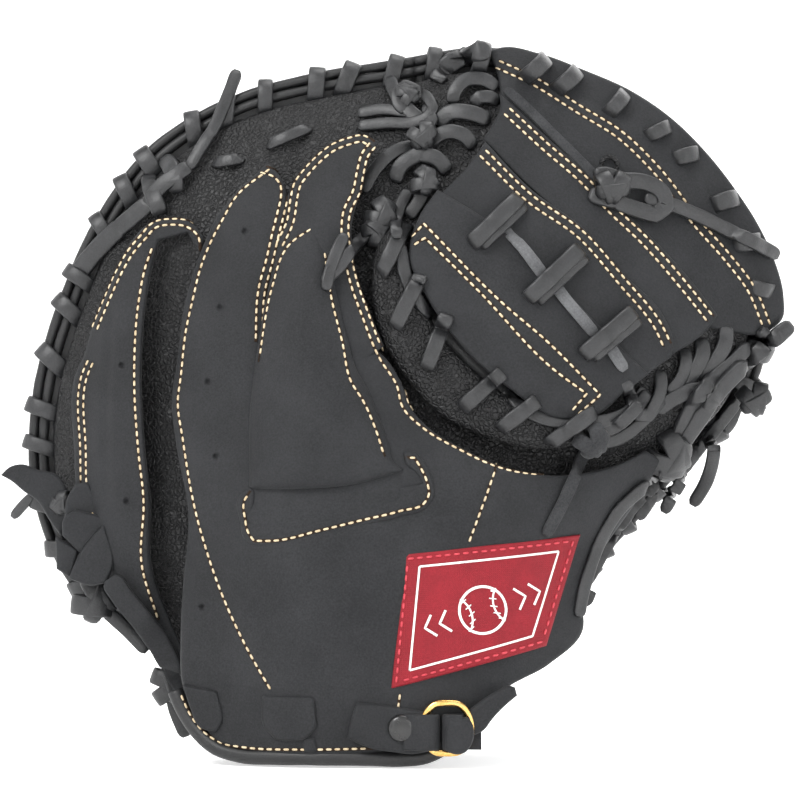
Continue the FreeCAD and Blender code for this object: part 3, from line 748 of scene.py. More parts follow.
class Shade:
    """Builds the shared node groups that the materials use."""

    def __init__(self) -> None:
        """Build the groups once."""
        self.mottle = self._mottle()
        self.grain = self._grain()
        self.pebble = self._pebble()
        self.weave = self._weave()

    @staticmethod
    def _group(name: str, inputs: Sequence[tuple], outputs: Sequence[tuple]) -> tuple:
        """Make an empty group with named sockets."""
        tree = bpy.data.node_groups.new(name, "ShaderNodeTree")
        for label, kind, value in inputs:
            socket = tree.interface.new_socket(name=label, in_out="INPUT", socket_type=kind)
            if value is not None:
                socket.default_value = value
        for label, kind in outputs:
            tree.interface.new_socket(name=label, in_out="OUTPUT", socket_type=kind)
        return tree, tree.nodes.new("NodeGroupInput"), tree.nodes.new("NodeGroupOutput")

    @staticmethod
    def _noise(tree: bpy.types.NodeTree, scale_from: bpy.types.NodeSocket, detail: float,
               roughness: float) -> bpy.types.Node:
        """Add a noise texture on the object's own coordinates."""
        coordinates = tree.nodes.new("ShaderNodeTexCoord")
        texture = tree.nodes.new("ShaderNodeTexNoise")
        texture.inputs["Detail"].default_value = detail
        texture.inputs["Roughness"].default_value = roughness
        tree.links.new(coordinates.outputs["Object"], texture.inputs["Vector"])
        tree.links.new(scale_from, texture.inputs["Scale"])
        return texture

    def _mottle(self) -> bpy.types.NodeTree:
        """Two colours in soft patches with a finer speckle, and a roughness that follows them."""
        inputs = [("Patch Scale", "NodeSocketFloat", 60.0), ("Speck Scale", "NodeSocketFloat", 1400.0),
                  ("Dark", "NodeSocketColor", None), ("Light", "NodeSocketColor", None),
                  ("Low Roughness", "NodeSocketFloat", 0.6), ("High Roughness", "NodeSocketFloat", 0.8)]
        tree, entry, leave = self._group("Mottle", inputs, [("Color", "NodeSocketColor"),
                                                            ("Roughness", "NodeSocketFloat")])
        patch = self._noise(tree, entry.outputs["Patch Scale"], 5.0, 0.6)
        speck = self._noise(tree, entry.outputs["Speck Scale"], 2.0, 0.5)
        blend = tree.nodes.new("ShaderNodeMath")
        blend.operation = "MULTIPLY_ADD"
        blend.inputs[1].default_value = 0.45
        tree.links.new(speck.outputs["Fac"], blend.inputs[0])
        half = tree.nodes.new("ShaderNodeMath")
        half.operation = "MULTIPLY"
        half.inputs[1].default_value = 0.55
        tree.links.new(patch.outputs["Fac"], half.inputs[0])
        tree.links.new(half.outputs[0], blend.inputs[2])
        spread = tree.nodes.new("ShaderNodeMapRange")
        spread.inputs["From Min"].default_value = 0.36
        spread.inputs["From Max"].default_value = 0.64
        tree.links.new(blend.outputs[0], spread.inputs["Value"])
        mix = tree.nodes.new("ShaderNodeMix")
        mix.data_type = "RGBA"
        tree.links.new(spread.outputs["Result"], mix.inputs[0])
        tree.links.new(entry.outputs["Dark"], mix.inputs[6])
        tree.links.new(entry.outputs["Light"], mix.inputs[7])
        tree.links.new(mix.outputs[2], leave.inputs["Color"])
        shine = tree.nodes.new("ShaderNodeMapRange")
        tree.links.new(patch.outputs["Fac"], shine.inputs["Value"])
        tree.links.new(entry.outputs["Low Roughness"], shine.inputs["To Min"])
        tree.links.new(entry.outputs["High Roughness"], shine.inputs["To Max"])
        tree.links.new(shine.outputs["Result"], leave.inputs["Roughness"])
        return tree

    def _grain(self) -> bpy.types.NodeTree:
        """Height of brushed leather: fine fibres over slow waves."""
        inputs = [("Fibre Scale", "NodeSocketFloat", 1600.0), ("Wave Scale", "NodeSocketFloat", 160.0),
                  ("Fibre Share", "NodeSocketFloat", 0.5)]
        tree, entry, leave = self._group("Grain", inputs, [("Height", "NodeSocketFloat")])
        fibre = self._noise(tree, entry.outputs["Fibre Scale"], 3.0, 0.6)
        wave = self._noise(tree, entry.outputs["Wave Scale"], 4.0, 0.6)
        mix = tree.nodes.new("ShaderNodeMix")
        tree.links.new(entry.outputs["Fibre Share"], mix.inputs[0])
        tree.links.new(wave.outputs["Fac"], mix.inputs[2])
        tree.links.new(fibre.outputs["Fac"], mix.inputs[3])
        tree.links.new(mix.outputs[0], leave.inputs["Height"])
        return tree

    def _pebble(self) -> bpy.types.NodeTree:
        """Height of pebbled leather: rounded cells with creases between."""
        inputs = [("Cell Scale", "NodeSocketFloat", 620.0)]
        tree, entry, leave = self._group("Pebble", inputs, [("Height", "NodeSocketFloat")])
        coordinates = tree.nodes.new("ShaderNodeTexCoord")
        cells = tree.nodes.new("ShaderNodeTexVoronoi")
        cells.feature = "DISTANCE_TO_EDGE"
        tree.links.new(coordinates.outputs["Object"], cells.inputs["Vector"])
        tree.links.new(entry.outputs["Cell Scale"], cells.inputs["Scale"])
        crease = tree.nodes.new("ShaderNodeMapRange")
        crease.interpolation_type = "SMOOTHSTEP"
        crease.inputs["From Max"].default_value = 0.25
        tree.links.new(cells.outputs["Distance"], crease.inputs["Value"])
        tree.links.new(crease.outputs["Result"], leave.inputs["Height"])
        return tree

    def _weave(self) -> bpy.types.NodeTree:
        """Height of a woven label: crossed threads."""
        inputs = [("Thread Scale", "NodeSocketFloat", 900.0)]
        tree, entry, leave = self._group("Weave", inputs, [("Height", "NodeSocketFloat")])
        coordinates = tree.nodes.new("ShaderNodeTexCoord")
        waves = []
        for direction in ("X", "Z"):
            wave = tree.nodes.new("ShaderNodeTexWave")
            wave.bands_direction = direction
            tree.links.new(coordinates.outputs["Object"], wave.inputs["Vector"])
            tree.links.new(entry.outputs["Thread Scale"], wave.inputs["Scale"])
            waves.append(wave)
        both = tree.nodes.new("ShaderNodeMath")
        both.operation = "MULTIPLY"
        tree.links.new(waves[0].outputs["Fac"], both.inputs[0])
        tree.links.new(waves[1].outputs["Fac"], both.inputs[1])
        tree.links.new(both.outputs[0], leave.inputs["Height"])
        return tree


@dataclass(frozen=True)
class Finish:
    """What one material looks like."""

    name: str
    dark: tuple
    light: tuple
    rough: tuple = (0.6, 0.8)
    patch: float = 60.0
    speck: float = 1400.0
    relief: str = "Grain"
    relief_scale: float = 1600.0
    wave_scale: float = 160.0
    fibre_share: float = 0.5
    bump: float = 0.35
    depth: float = 0.0004
    metallic: float = 0.0
    coat: float = 0.0
    sheen: float = 0.0
    specular: float = 0.5

    def build(self, shade: Shade) -> bpy.types.Material:
        """Make the material."""
        material = bpy.data.materials.new(self.name)
        material.use_nodes = True
        tree = material.node_tree
        surface = tree.nodes["Principled BSDF"]
        surface.inputs["Metallic"].default_value = self.metallic
        surface.inputs["Coat Weight"].default_value = self.coat
        surface.inputs["Sheen Weight"].default_value = self.sheen
        surface.inputs["Sheen Roughness"].default_value = 0.4
        surface.inputs["Specular IOR Level"].default_value = self.specular
        mottle = tree.nodes.new("ShaderNodeGroup")
        mottle.node_tree = shade.mottle
        values = {"Patch Scale": self.patch, "Speck Scale": self.speck, "Dark": (*self.dark, 1),
                  "Light": (*self.light, 1), "Low Roughness": self.rough[0], "High Roughness": self.rough[1]}
        for key, value in values.items():
            mottle.inputs[key].default_value = value
        tree.links.new(mottle.outputs["Color"], surface.inputs["Base Color"])
        tree.links.new(mottle.outputs["Roughness"], surface.inputs["Roughness"])
        relief = tree.nodes.new("ShaderNodeGroup")
        relief.node_tree = {"Grain": shade.grain, "Pebble": shade.pebble, "Weave": shade.weave}[self.relief]
        relief.inputs[0].default_value = self.relief_scale
        if self.relief == "Grain":
            relief.inputs["Wave Scale"].default_value = self.wave_scale
            relief.inputs["Fibre Share"].default_value = self.fibre_share
        bump = tree.nodes.new("ShaderNodeBump")
        bump.inputs["Strength"].default_value = self.bump
        bump.inputs["Distance"].default_value = self.depth
        tree.links.new(relief.outputs["Height"], bump.inputs["Height"])
        tree.links.new(bump.outputs["Normal"], surface.inputs["Normal"])
        return material


FINISHES = {
    "nubuck": Finish("nubuck", (0.0100, 0.0105, 0.0115), (0.0230, 0.0237, 0.0255), (0.62, 0.84), 38.0,
                     sheen=0.03,
                     bump=0.55, specular=0.22),
    "palm": Finish("palm", (0.0095, 0.0098, 0.0105), (0.0210, 0.0215, 0.0228), (0.46, 0.66), 30.0, bump=0.5,
                   wave_scale=120.0, specular=0.3),
    "lining": Finish("lining", (0.0050, 0.0050, 0.0054), (0.0105, 0.0105, 0.0112), (0.40, 0.58), 60.0,
                     relief="Pebble", relief_scale=560.0, bump=0.7, depth=0.0007, specular=0.32),
    "roll": Finish("roll", (0.0075, 0.0076, 0.0080), (0.0165, 0.0167, 0.0175), (0.36, 0.54), 80.0, bump=0.45,
                   specular=0.4),
    "lace": Finish("lace", (0.0080, 0.0083, 0.0090), (0.0215, 0.0220, 0.0235), (0.32, 0.50), 90.0, bump=0.6,
                   wave_scale=300.0, fibre_share=0.35, specular=0.5),
    "suede_dark": Finish("suede_dark", (0.018, 0.0185, 0.020), (0.042, 0.043, 0.045), (0.8, 0.95), 90.0,
                         bump=0.7,
                         sheen=0.08, specular=0.2),
    "suede": Finish("suede", (0.070, 0.071, 0.074), (0.125, 0.127, 0.132), (0.85, 0.95), 90.0, bump=0.7,
                    sheen=0.1,
                    specular=0.2),
    "thread": Finish("thread", (0.46, 0.34, 0.19), (0.74, 0.63, 0.44), (0.5, 0.65), 300.0, 2400.0, bump=0.5,
                     relief_scale=3000.0),
    # Dark brown strip under the stitches: painted shadow of the thread.
    "thread_shadow_paint": Finish("thread_shadow_paint", (0.0060, 0.0035, 0.0020), (0.030, 0.015, 0.0065), (0.7, 0.85), 300.0,
                         bump=0.3,
                         specular=0.2),
    "thread_red": Finish("thread_red", (0.40, 0.02, 0.035), (0.60, 0.06, 0.08), (0.5, 0.65), 300.0, 2400.0,
                         bump=0.5),
    "label": Finish("label", (0.175, 0.0045, 0.0105), (0.235, 0.009, 0.017), (0.6, 0.75), 120.0,
                    relief="Weave",
                    relief_scale=420.0, bump=0.4, depth=0.0003, specular=0.3),
    "label_white": Finish("label_white", (0.70, 0.68, 0.65), (0.82, 0.81, 0.78), (0.6, 0.7), 200.0,
                          relief="Weave",
                          relief_scale=420.0, bump=0.35, depth=0.0003, specular=0.3),
    "brass": Finish("brass", (0.60, 0.34, 0.08), (0.86, 0.60, 0.24), (0.16, 0.32), 140.0, bump=0.12,
                    metallic=1.0,
                    depth=0.0002),
    "snap": Finish("snap", (0.003, 0.003, 0.003), (0.007, 0.007, 0.007), (0.20, 0.36), 200.0, bump=0.12,
                   coat=0.3,
                   depth=0.0002),
}


# ------------------------------------------------------------------------------------------- pieces


def bend_over(piece: bpy.types.Object) -> None:
    """Bake a piece's placement into its points."""
    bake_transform(piece)


@dataclass
class Dressed:
    """A sub-assembly that is dressed with the mitt's finishes."""

    finish: dict[str, bpy.types.Material]


@dataclass
class OneLeather:
    """A sub-assembly of a single leather."""

    material: bpy.types.Material


class Palm(OneLeather):
    """The palm's leather: pocket, lips and side walls, in two halves."""

    STEP = 3.0
    CREASES = [([(-36, 20), (-58, -12), (-66, -50), (-58, -88)], 2.6, 5.0),
               ([(38, 6), (54, -24), (72, -56), (92, -84)], 2.4, 5.0),
               ([(-4, -40), (-8, -72), (-2, -100)], 1.2, 5.0)]

    def relief(self, u: np.ndarray, v: np.ndarray, base: np.ndarray) -> np.ndarray:
        """Return how far the leather stands off its smooth shape."""
        flat = np.stack([u, v], axis=1)
        height = 0.9 * rough(base, 42.0, 2.0) + 0.35 * rough(base, 13.0, 5.0)
        for line, depth, width in self.CREASES:
            near = edge_distance(flat, smooth_line(line, 4.0), closed=False)
            height -= depth * np.exp(-((near / width) ** 2))
        angle, r = np.degrees(np.arctan2(v, u)) % 360, np.hypot(u, v)
        puckers = np.sin(np.radians(angle * 24)) * np.exp(-(((r - 128) / 9) ** 2))
        return height + 0.35 * puckers

    def surface(self, u: np.ndarray, v: np.ndarray) -> np.ndarray:
        """Return points of the finished surface."""
        base = BOWL.front(u, v)
        return base + self.normal(BOWL.front, u, v) * self.relief(u, v, base)[:, None]

    @staticmethod
    def normal(surface: Callable, u: np.ndarray, v: np.ndarray, h: float = 0.8) -> np.ndarray:
        """Return the outward unit normals of a surface over the disc."""
        cross = np.cross(surface(u + h, v) - surface(u - h, v), surface(u, v + h) - surface(u, v - h))
        cross /= np.maximum(np.linalg.norm(cross, axis=1)[:, None], 1e-9)
        return -cross

    def half(self, sign: int) -> tuple[np.ndarray, list]:
        """Fill one half of the disc; both halves share the points of the straight side."""
        straight = np.arange(-BOWL.DISC, BOWL.DISC + 0.1, self.STEP)
        arc = np.radians(np.arange(2, 179, 1.2))
        edge = [(sign * BOWL.DISC * math.sin(a), BOWL.DISC * math.cos(a)) for a in arc]
        outline = np.array([(0.0, z) for z in straight] + edge)
        flat, tris, _ = fill(outline, self.STEP, (1.6,))
        return flat, tris

    def build(self) -> None:
        """Make both halves."""
        for name, sign, moving, nodes in (
                ("palm_fingers", -1, Body.PINKY, ("palm_leather_pinky", "palm_pad_pinky", "palm_leather_hand",
                                                  "palm_pad_hand")),
                ("palm_thumb", 1, Body.THUMB, ("palm_leather_thumb", "palm_pad_thumb"))):
            flat, tris = self.half(sign)
            points = self.surface(flat[:, 0], flat[:, 1])
            normals = self.normal(self.surface, flat[:, 0], flat[:, 1])
            faces = []
            for t in tris:
                a, b, c = points[list(t)]
                faces.append(t if np.cross(b - a, c - a) @ normals[t[0]] > 0 else t[::-1])
            SKIN.add(name, points, faces)
            piece = new_mesh(name, points, faces, self.material, None, nodes)
            piece.data.normals_split_custom_set_from_vertices(normals.tolist())
            bend_over(piece)


@dataclass
class OnPalm(Dressed):
    """A sub-assembly that lies on the palm's leather."""

    palm: Palm


class PalmTies(OnPalm):
    """The short laces that show in the palm beside the two stalls."""

    SPOTS = {"pinky_loop": [(-78, -30), (-76, -44), (-72, -58)],
             "thumb_loop": [(74, -22), (80, -36), (86, -50)]}

    def build(self) -> None:
        """Make both rows."""
        for name, spots in self.SPOTS.items():
            heap = Heap()
            for u, v in spots:
                shares = np.linspace(-1, 1, 13)
                path = np.array([u, v])[None, :] + np.array([1.0, 0.35])[None, :] * shares[:, None] * 6.5
                normal = self.palm.normal(self.palm.surface, path[:, 0], path[:, 1])
                lift = 2.2 - 3.4 * shares ** 6
                points = self.palm.surface(path[:, 0], path[:, 1]) + normal * lift[:, None]
                heap.add(*lace_line(points, normal))
            piece = heap.make(name, self.finish["lace"], None, (name,), "lace")
            bend_over(piece)


class PocketWeb(OnPalm):
    """The web on the pocket's side, the gusset along its rim, and the laces that tie it to the palm."""

    OUTLINE = [(5, 187), (13, 172), (29, 150), (40, 140), (61, 128), (84, 139), (104, 152), (122, 158)]
    BACK = [(36, 240), (18, 215), (8, 204)]
    LACES = 15

    def outline(self) -> np.ndarray:
        """Return the web's outline in the disc."""
        inner = [BOWL.disc_place(x, z) for x, z in self.OUTLINE]
        back = [BOWL.disc_place(x, z) for x, z in self.BACK]
        arc = [(123 * math.cos(a), 123 * math.sin(a)) for a in np.radians(np.arange(11, 74, 3))]
        return smooth_line(inner + arc + back, 2.4, closed=True)

    def build(self) -> None:
        """Make the panel, the gusset and the laces."""
        outline = self.outline()
        flat, tris, loop = fill(outline, 2.6, (0.4, 1.2))
        u, v = flat[:, 0], flat[:, 1]
        away = edge_distance(flat, outline)
        roll = np.sqrt(np.clip(1 - (1 - np.clip(away / 1.4, 0, 1)) ** 2, 0, 1))
        height = 0.4 + 2.2 * roll + 0.9 * (1 - np.exp(-away / 10))
        for share in (0.3, 0.58, 0.84):
            across = np.abs((u + v) / 1.4142 - 40 - share * 95)
            height -= 0.9 * np.exp(-((across / 1.3) ** 2)) * np.clip(away / 6, 0, 1)
        normal = self.palm.normal(self.palm.surface, u, v)
        base = self.palm.surface(u, v)
        top, low = base + normal * height[:, None], base - normal * 0.6
        n = len(flat)
        faces = []
        for t in tris:
            a, b, c = top[list(t)]
            faces.append(t if np.cross(b - a, c - a) @ normal[t[0]] > 0 else t[::-1])
        faces += [tuple(n + k for k in reversed(f)) for f in faces[:len(tris)]]
        faces += [(b, a, n + a, n + b) for a, b in zip(loop, loop[1:] + loop[:1])]
        SKIN.add("web_front", top, tris)
        new_mesh("web_front", np.concatenate([top, low]), faces, self.finish["palm"], Body.HAND,
                 ("web_front",))
        self._gusset()
        self._laces(outline)

    def _gusset(self) -> None:
        """Close the web's edge between its back and the rim."""
        angles = np.arange(8, 84, 2.0)
        rows = []
        for share in np.linspace(0, 1, 7):
            for a in angles:
                r = float(BOWL.radius(a)) - 3.4 - 2.2 * share * share + 1.2 * math.sin(math.pi * share)
                rim = BOWL.rim(float(a))
                turn = math.radians(a)
                x, z = BOWL.CENTRE[0] + r * math.cos(turn), BOWL.CENTRE[1] + r * math.sin(turn)
                edge = float(web_face(np.array(x), np.array(z))) - 1.0
                rows.append((x, edge + (rim.y + 1.0 - edge) * share, z))
        count = len(angles)
        faces = [(i * count + j, i * count + j + 1, (i + 1) * count + j + 1, (i + 1) * count + j)
                 for i in range(6) for j in range(count - 1)]
        new_mesh("web_gusset", np.array(rows), faces, self.finish["nubuck"], Body.HAND, ())

    def _laces(self, outline: np.ndarray) -> None:
        """Tie the web's inner edge to the palm."""
        middle = outline.mean(0)
        line = smooth_line([BOWL.disc_place(x, z) for x, z in self.BACK[::-1] + self.OUTLINE], 1.0)
        heap = Heap()
        for k in range(self.LACES):
            spot = line[int((k + 0.5) / self.LACES * (len(line) - 1))]
            inward = (middle - spot) / np.linalg.norm(middle - spot)
            across = np.array([-inward[1], inward[0]])
            slant = across * (2.4 if k % 2 else -2.4)
            shares = np.linspace(-1, 1, 15)
            path = spot[None, :] + inward[None, :] * (shares[:, None] * 6.0) + slant[None, :] * shares[:,
                                                                                                       None]
            lift = 4.0 - 4.6 * shares ** 6 + np.where(shares > 0, 1.2, 0.0)
            normal = self.palm.normal(self.palm.surface, path[:, 0], path[:, 1])
            points = self.palm.surface(path[:, 0], path[:, 1]) + normal * lift[:, None]
            heap.add(*lace_line(points, normal))
        heap.make("web_front_lace", self.finish["lace"], Body.HAND, (), "lace")


class Lining(OneLeather):
    """The pebbled lining that shows round the fingers and between the back's leathers."""

    def build(self) -> None:
        """Make the fingers' part and the rest."""
        angles = np.radians(np.arange(0, 360, 3))
        ring = [(BOWL.CENTRE[0] + r * math.cos(a), BOWL.CENTRE[1] + r * math.sin(a))
                for a, r in ((a, float(BOWL.radius(math.degrees(a))) - BOWL.INSET - 1.0) for a in angles)]
        left = [p for p in ring if p[0] < -40]
        left.sort(key=lambda p: math.atan2(p[1] - 137, -(p[0] - 1)))
        low, high = left[0], left[-1]
        seam = [(-40.0, z) for z in np.arange(high[1] - 4, low[1] + 2, -6.0)]
        swell = lambda x, z: 0.5 * rough(np.stack([x, x * 0, z], axis=1), 17.0, 3.0)
        fingers = Leather("lining_fingers", left + [(-40.0, high[1])] + seam + [(-40.0, low[1])], BOWL.back,
                          ("hand_lining_pinky", "hand_lining_hand"), None, lift=0.2, thick=1.4, step=2.6,
                          slot="lining", shape=swell)
        piece = fingers.build(self.material)
        bend_over(piece)
        right = [p for p in ring if p[0] > -42]
        Leather("lining_back", right, BOWL.back, (), Body.HAND, lift=0.0, thick=1.3, step=3.4,
                slot="lining", shape=swell).build(self.material)


BACK_SHELL = [(-60, 5.5), (-68, 8), (-75, 16), (-80.5, 26), (-82, 46), (-81, 66), (-79, 92), (-84, 120),
              (-85.5, 136), (-84, 146), (-80.5, 172), (-73.5, 194), (-68.5, 204.5), (-60, 214), (-50, 224),
              (-45, 219), (-42, 206), (-45, 190), (-49, 172), (-48, 157), (-14, 157), (-5, 150), (1, 140),
              (4, 132), (12, 123.5), (24, 116.5), (40, 109.5), (53, 107), (68, 107.5), (83, 111.5), (92, 116),
              (99, 112), (88, 95), (74, 74), (68.5, 59), (68.5, 49), (56, 37), (39, 28), (27, 17), (17, 9),
              (0, 6)]
INDEX_BACK = [(-53, 150), (-53, 172), (-48.5, 190), (-44, 202), (-42, 212), (-39.5, 217), (-32, 226),
              (-24, 232),
              (-15, 235), (-8, 232), (-11, 226), (-15, 212), (-18, 200), (-18, 192), (-15, 178), (-11, 167),
              (-6, 155), (-12, 150)]
HOOD = [(-31, 202), (-41.5, 194), (-48.5, 178), (-52.5, 157), (-55.5, 136), (-56, 102), (-38, 102),
        (-13, 104.5),
        (2, 109), (-2.5, 112.5), (-4, 118), (-8, 129), (-12, 139), (-16, 146), (-19.5, 158), (-23.5, 174),
        (-27, 191)]
SLOT_FRAME = [(-56, 103.5), (-60.5, 98), (-59.5, 90), (-58, 83.5), (-54, 80.6), (-45, 81), (-30, 84.5),
              (-15, 88.2),
              (0, 91.8), (10, 95.2), (13, 100), (12.2, 105.5), (9.5, 111.5), (6, 115.8), (1, 116), (2, 111),
              (6, 108), (8.2, 104.4), (-11, 100.9), (-34, 95.8), (-54.5, 93.6), (-53.5, 101.5)]
PINKY_BACK = [(-92, 40), (-80, 27), (-76, 29), (-86, 50), (-93.5, 74), (-93.5, 97), (-95.5, 116), (-97, 142),
              (-95.5, 172), (-93.5, 184), (-91, 195), (-80, 198), (-75, 189), (-73.5, 196), (-80, 202.5),
              (-87, 203.5), (-94, 202), (-103, 192), (-107, 184), (-112, 173), (-117, 161), (-120.5, 150),
              (-122.5, 146), (-123.5, 116), (-122, 97), (-112.5, 73), (-99, 47)]
PATCH = [(2.3, 78.3), (67.3, 84.7), (54.3, 43.7), (-3.4, 28.5)]
WEB_LOW = [(3.5, 189), (10.6, 172), (19.8, 158.5), (28.5, 149), (40, 139.6), (60.8, 127.5), (72, 128.5),
           (84, 138),
           (93, 144.5), (78, 159), (57, 180.5), (44, 194), (30, 203.8), (14, 213.5), (7, 203)]
WEB_MIDDLE = [(9, 207), (30, 200), (52, 180), (72, 160), (90, 142.8), (101.8, 151), (102.5, 157), (98, 168),
              (84, 182),
              (68.5, 199.5), (49, 214), (32, 232), (26.6, 224), (18, 214.7)]
WEB_UPPER = [(31, 233), (44, 219), (62, 202), (80, 184), (94, 168), (101, 151), (116, 161.5), (120, 167),
             (109, 181),
             (95, 196), (80, 210.5), (70.5, 221), (56, 233.5), (42, 247), (37.5, 251), (38, 246), (35, 239)]
WEB_OUTER = [(37.5, 256), (39, 246), (52, 234), (66, 221), (82, 205), (96, 189), (108, 175), (116, 162),
             (141, 161.5),
             (146, 166), (146.5, 174), (143, 188), (136.5, 202), (128, 215), (117, 229), (104, 242),
             (88, 253),
             (70, 261), (54, 267), (38.5, 269.5), (34, 268)]
CROTCH_PAD = [(-2, 201), (-8, 193), (-10.5, 178.6), (-8, 160.6), (2.6, 142.4), (14, 130), (30, 121.8),
              (52, 116.4),
              (64, 117.6), (86.5, 127), (89, 133), (78, 131), (63, 127.5), (50, 130.5), (33, 141.5),
              (20, 153), (11, 166),
              (5, 179), (2, 192)]


def web_step(count: float) -> Face:
    """Return the face of a web layer, further out for a higher count."""
    return lambda x, z: web_face(x, z) - count


class Backs(Dressed):
    """The flat leathers of the back, from the deepest to the outermost."""

    @staticmethod
    def finger_swell(x: np.ndarray, z: np.ndarray) -> np.ndarray:
        """Return the rise of the finger stalls under the hand's back and the folds of worn leather."""
        ring = 3.2 * np.exp(-(((x + 62 - (z - 150) * 0.12) / 11) ** 2)) * ease((z - 110) / 50)
        knuckles = 2.6 * np.exp(-(((x + 30) / 24) ** 2 + ((z - 60) / 20) ** 2))
        palm = 2.0 * np.exp(-(((x - 40) / 22) ** 2 + ((z - 96) / 10) ** 2))
        folds = 0.5 * np.sin((z + x * 0.3) / 5.2) * np.exp(-(((x + 66) / 12) ** 2 + ((z - 92) / 26) ** 2))
        return ring + knuckles + palm + folds

    @staticmethod
    def index_swell(x: np.ndarray, z: np.ndarray) -> np.ndarray:
        """Return the rise of the middle and index fingers over the hood's top."""
        stalls = 3.5 * np.exp(-(((x + 26) / 11) ** 2)) * ease((z - 168) / 35)
        return stalls - 0.6 * np.sin(x / 3.1) * ease((z - 215) / 12)

    def build(self) -> None:
        """Make the panels."""
        web = dict(body=Body.HAND, thick=2.5, edge=1.2, puff=0.5, ripple=0.3)
        nubuck = self.finish["nubuck"]
        Leather("web_outer", WEB_OUTER, web_step(0.2), ("web_edge",), **web).build(nubuck)
        Leather("web_upper", WEB_UPPER, web_step(2.4), ("web_upper",), **web).build(nubuck)
        Leather("web_middle", WEB_MIDDLE, web_step(4.6), ("web_middle",), **web).build(nubuck)
        Leather("web_low", WEB_LOW, web_step(6.6), ("web_back",), **web).build(nubuck)
        Leather("crotch_pad", CROTCH_PAD, web_step(3.0), ("crotch_roll",), thick=2.2, edge=2.0, puff=2.4,
                puff_width=3.5, step=1.7, ripple=1.5, slot="lining").build(self.finish["lining"])
        pinky = lambda x, z: 2.6 * np.exp(-(((x + 104) / 11) ** 2)) * ease((z - 30) / 50) + 1.8 * np.exp(
            -(((x + 96) / 3.2) ** 2)) * ease((198 - z) / 12)
        Leather("pinky_back", PINKY_BACK, pinky_face, ("pinky_back",), Body.PINKY, thick=2.3, puff=0.8,
                step=1.9,
                grooves=[([(-108.3, 169), (-110.5, 130), (-110, 97)], 1.0, 1.5)],
                holes=[(-104.5, 148), (-102.6, 97)], shape=pinky).build(nubuck)
        Leather("back_shell", BACK_SHELL, hand_face, ("back_shell",), Body.HAND, lift=2.0, thick=2.6,
                puff=2.4,
                puff_width=9.0, step=2.0, ripple=0.9,
                grooves=[([(36, 111.3), (33.8, 105), (25.5, 82.5)], 1.3, 1.1),
                         ([(0, 26.6), (-0.8, 21), (-1, 14)], 0.9, 1.0),
                         ([(-64, 90), (-72, 60), (-70, 30)], 1.1, 7.0),
                         ([(20, 30), (45, 60), (66, 86)], 0.8, 6.0)],
                holes=[(-58, 198), (-67, 169.5), (-71.4, 141.7), (-68.4, 114), (-73.7, 57.8)],
                shape=self.finger_swell).build(nubuck)
        Leather("index_back", INDEX_BACK, hand_face, ("index_back",), Body.HAND, lift=3.2, thick=2.4,
                puff=2.0,
                puff_width=7.0, step=1.9, shape=self.index_swell).build(nubuck)
        Leather("slot_frame", SLOT_FRAME, hand_face, ("slot_frame",), Body.HAND, lift=5.4, thick=2.4,
                edge=1.5,
                step=1.6, grooves=[([(-55, 91.5), (-38, 92.5), (-18, 96), (-2, 100)], 2.2,
                                    2.6)]).build(nubuck)


class Hood(OneLeather):
    """The padded hood over the index finger, with a pressed motif of its own."""

    BARS = [[(-50, 131), (-33, 120.5), (-15, 131)], [(-50, 126.5), (-33, 116), (-16.5, 126)],
            [(-45, 133), (-33, 126), (-20, 133)]]

    @staticmethod
    def swell(x: np.ndarray, z: np.ndarray) -> np.ndarray:
        """Return the hood's crown: fullest in the middle, lower to the tip."""
        middle = -32 - (z - 100) * 0.04
        return 4.5 * np.exp(-(((x - middle) / 17) ** 2)) * ease((206 - z) / 70) * ease((z - 92) / 26)

    def build(self) -> None:
        """Make the hood."""
        grooves = [(bar, 0.55, 0.9) for bar in self.BARS]
        hood = Leather("finger_hood", HOOD, hand_face, ("finger_hood",), Body.HAND, lift=5.2, thick=2.8,
                       edge=1.8,
                       puff=5.0, puff_width=6.5, step=1.7, ripple=0.8, grooves=grooves, shape=self.swell)
        piece = hood.build(self.material)


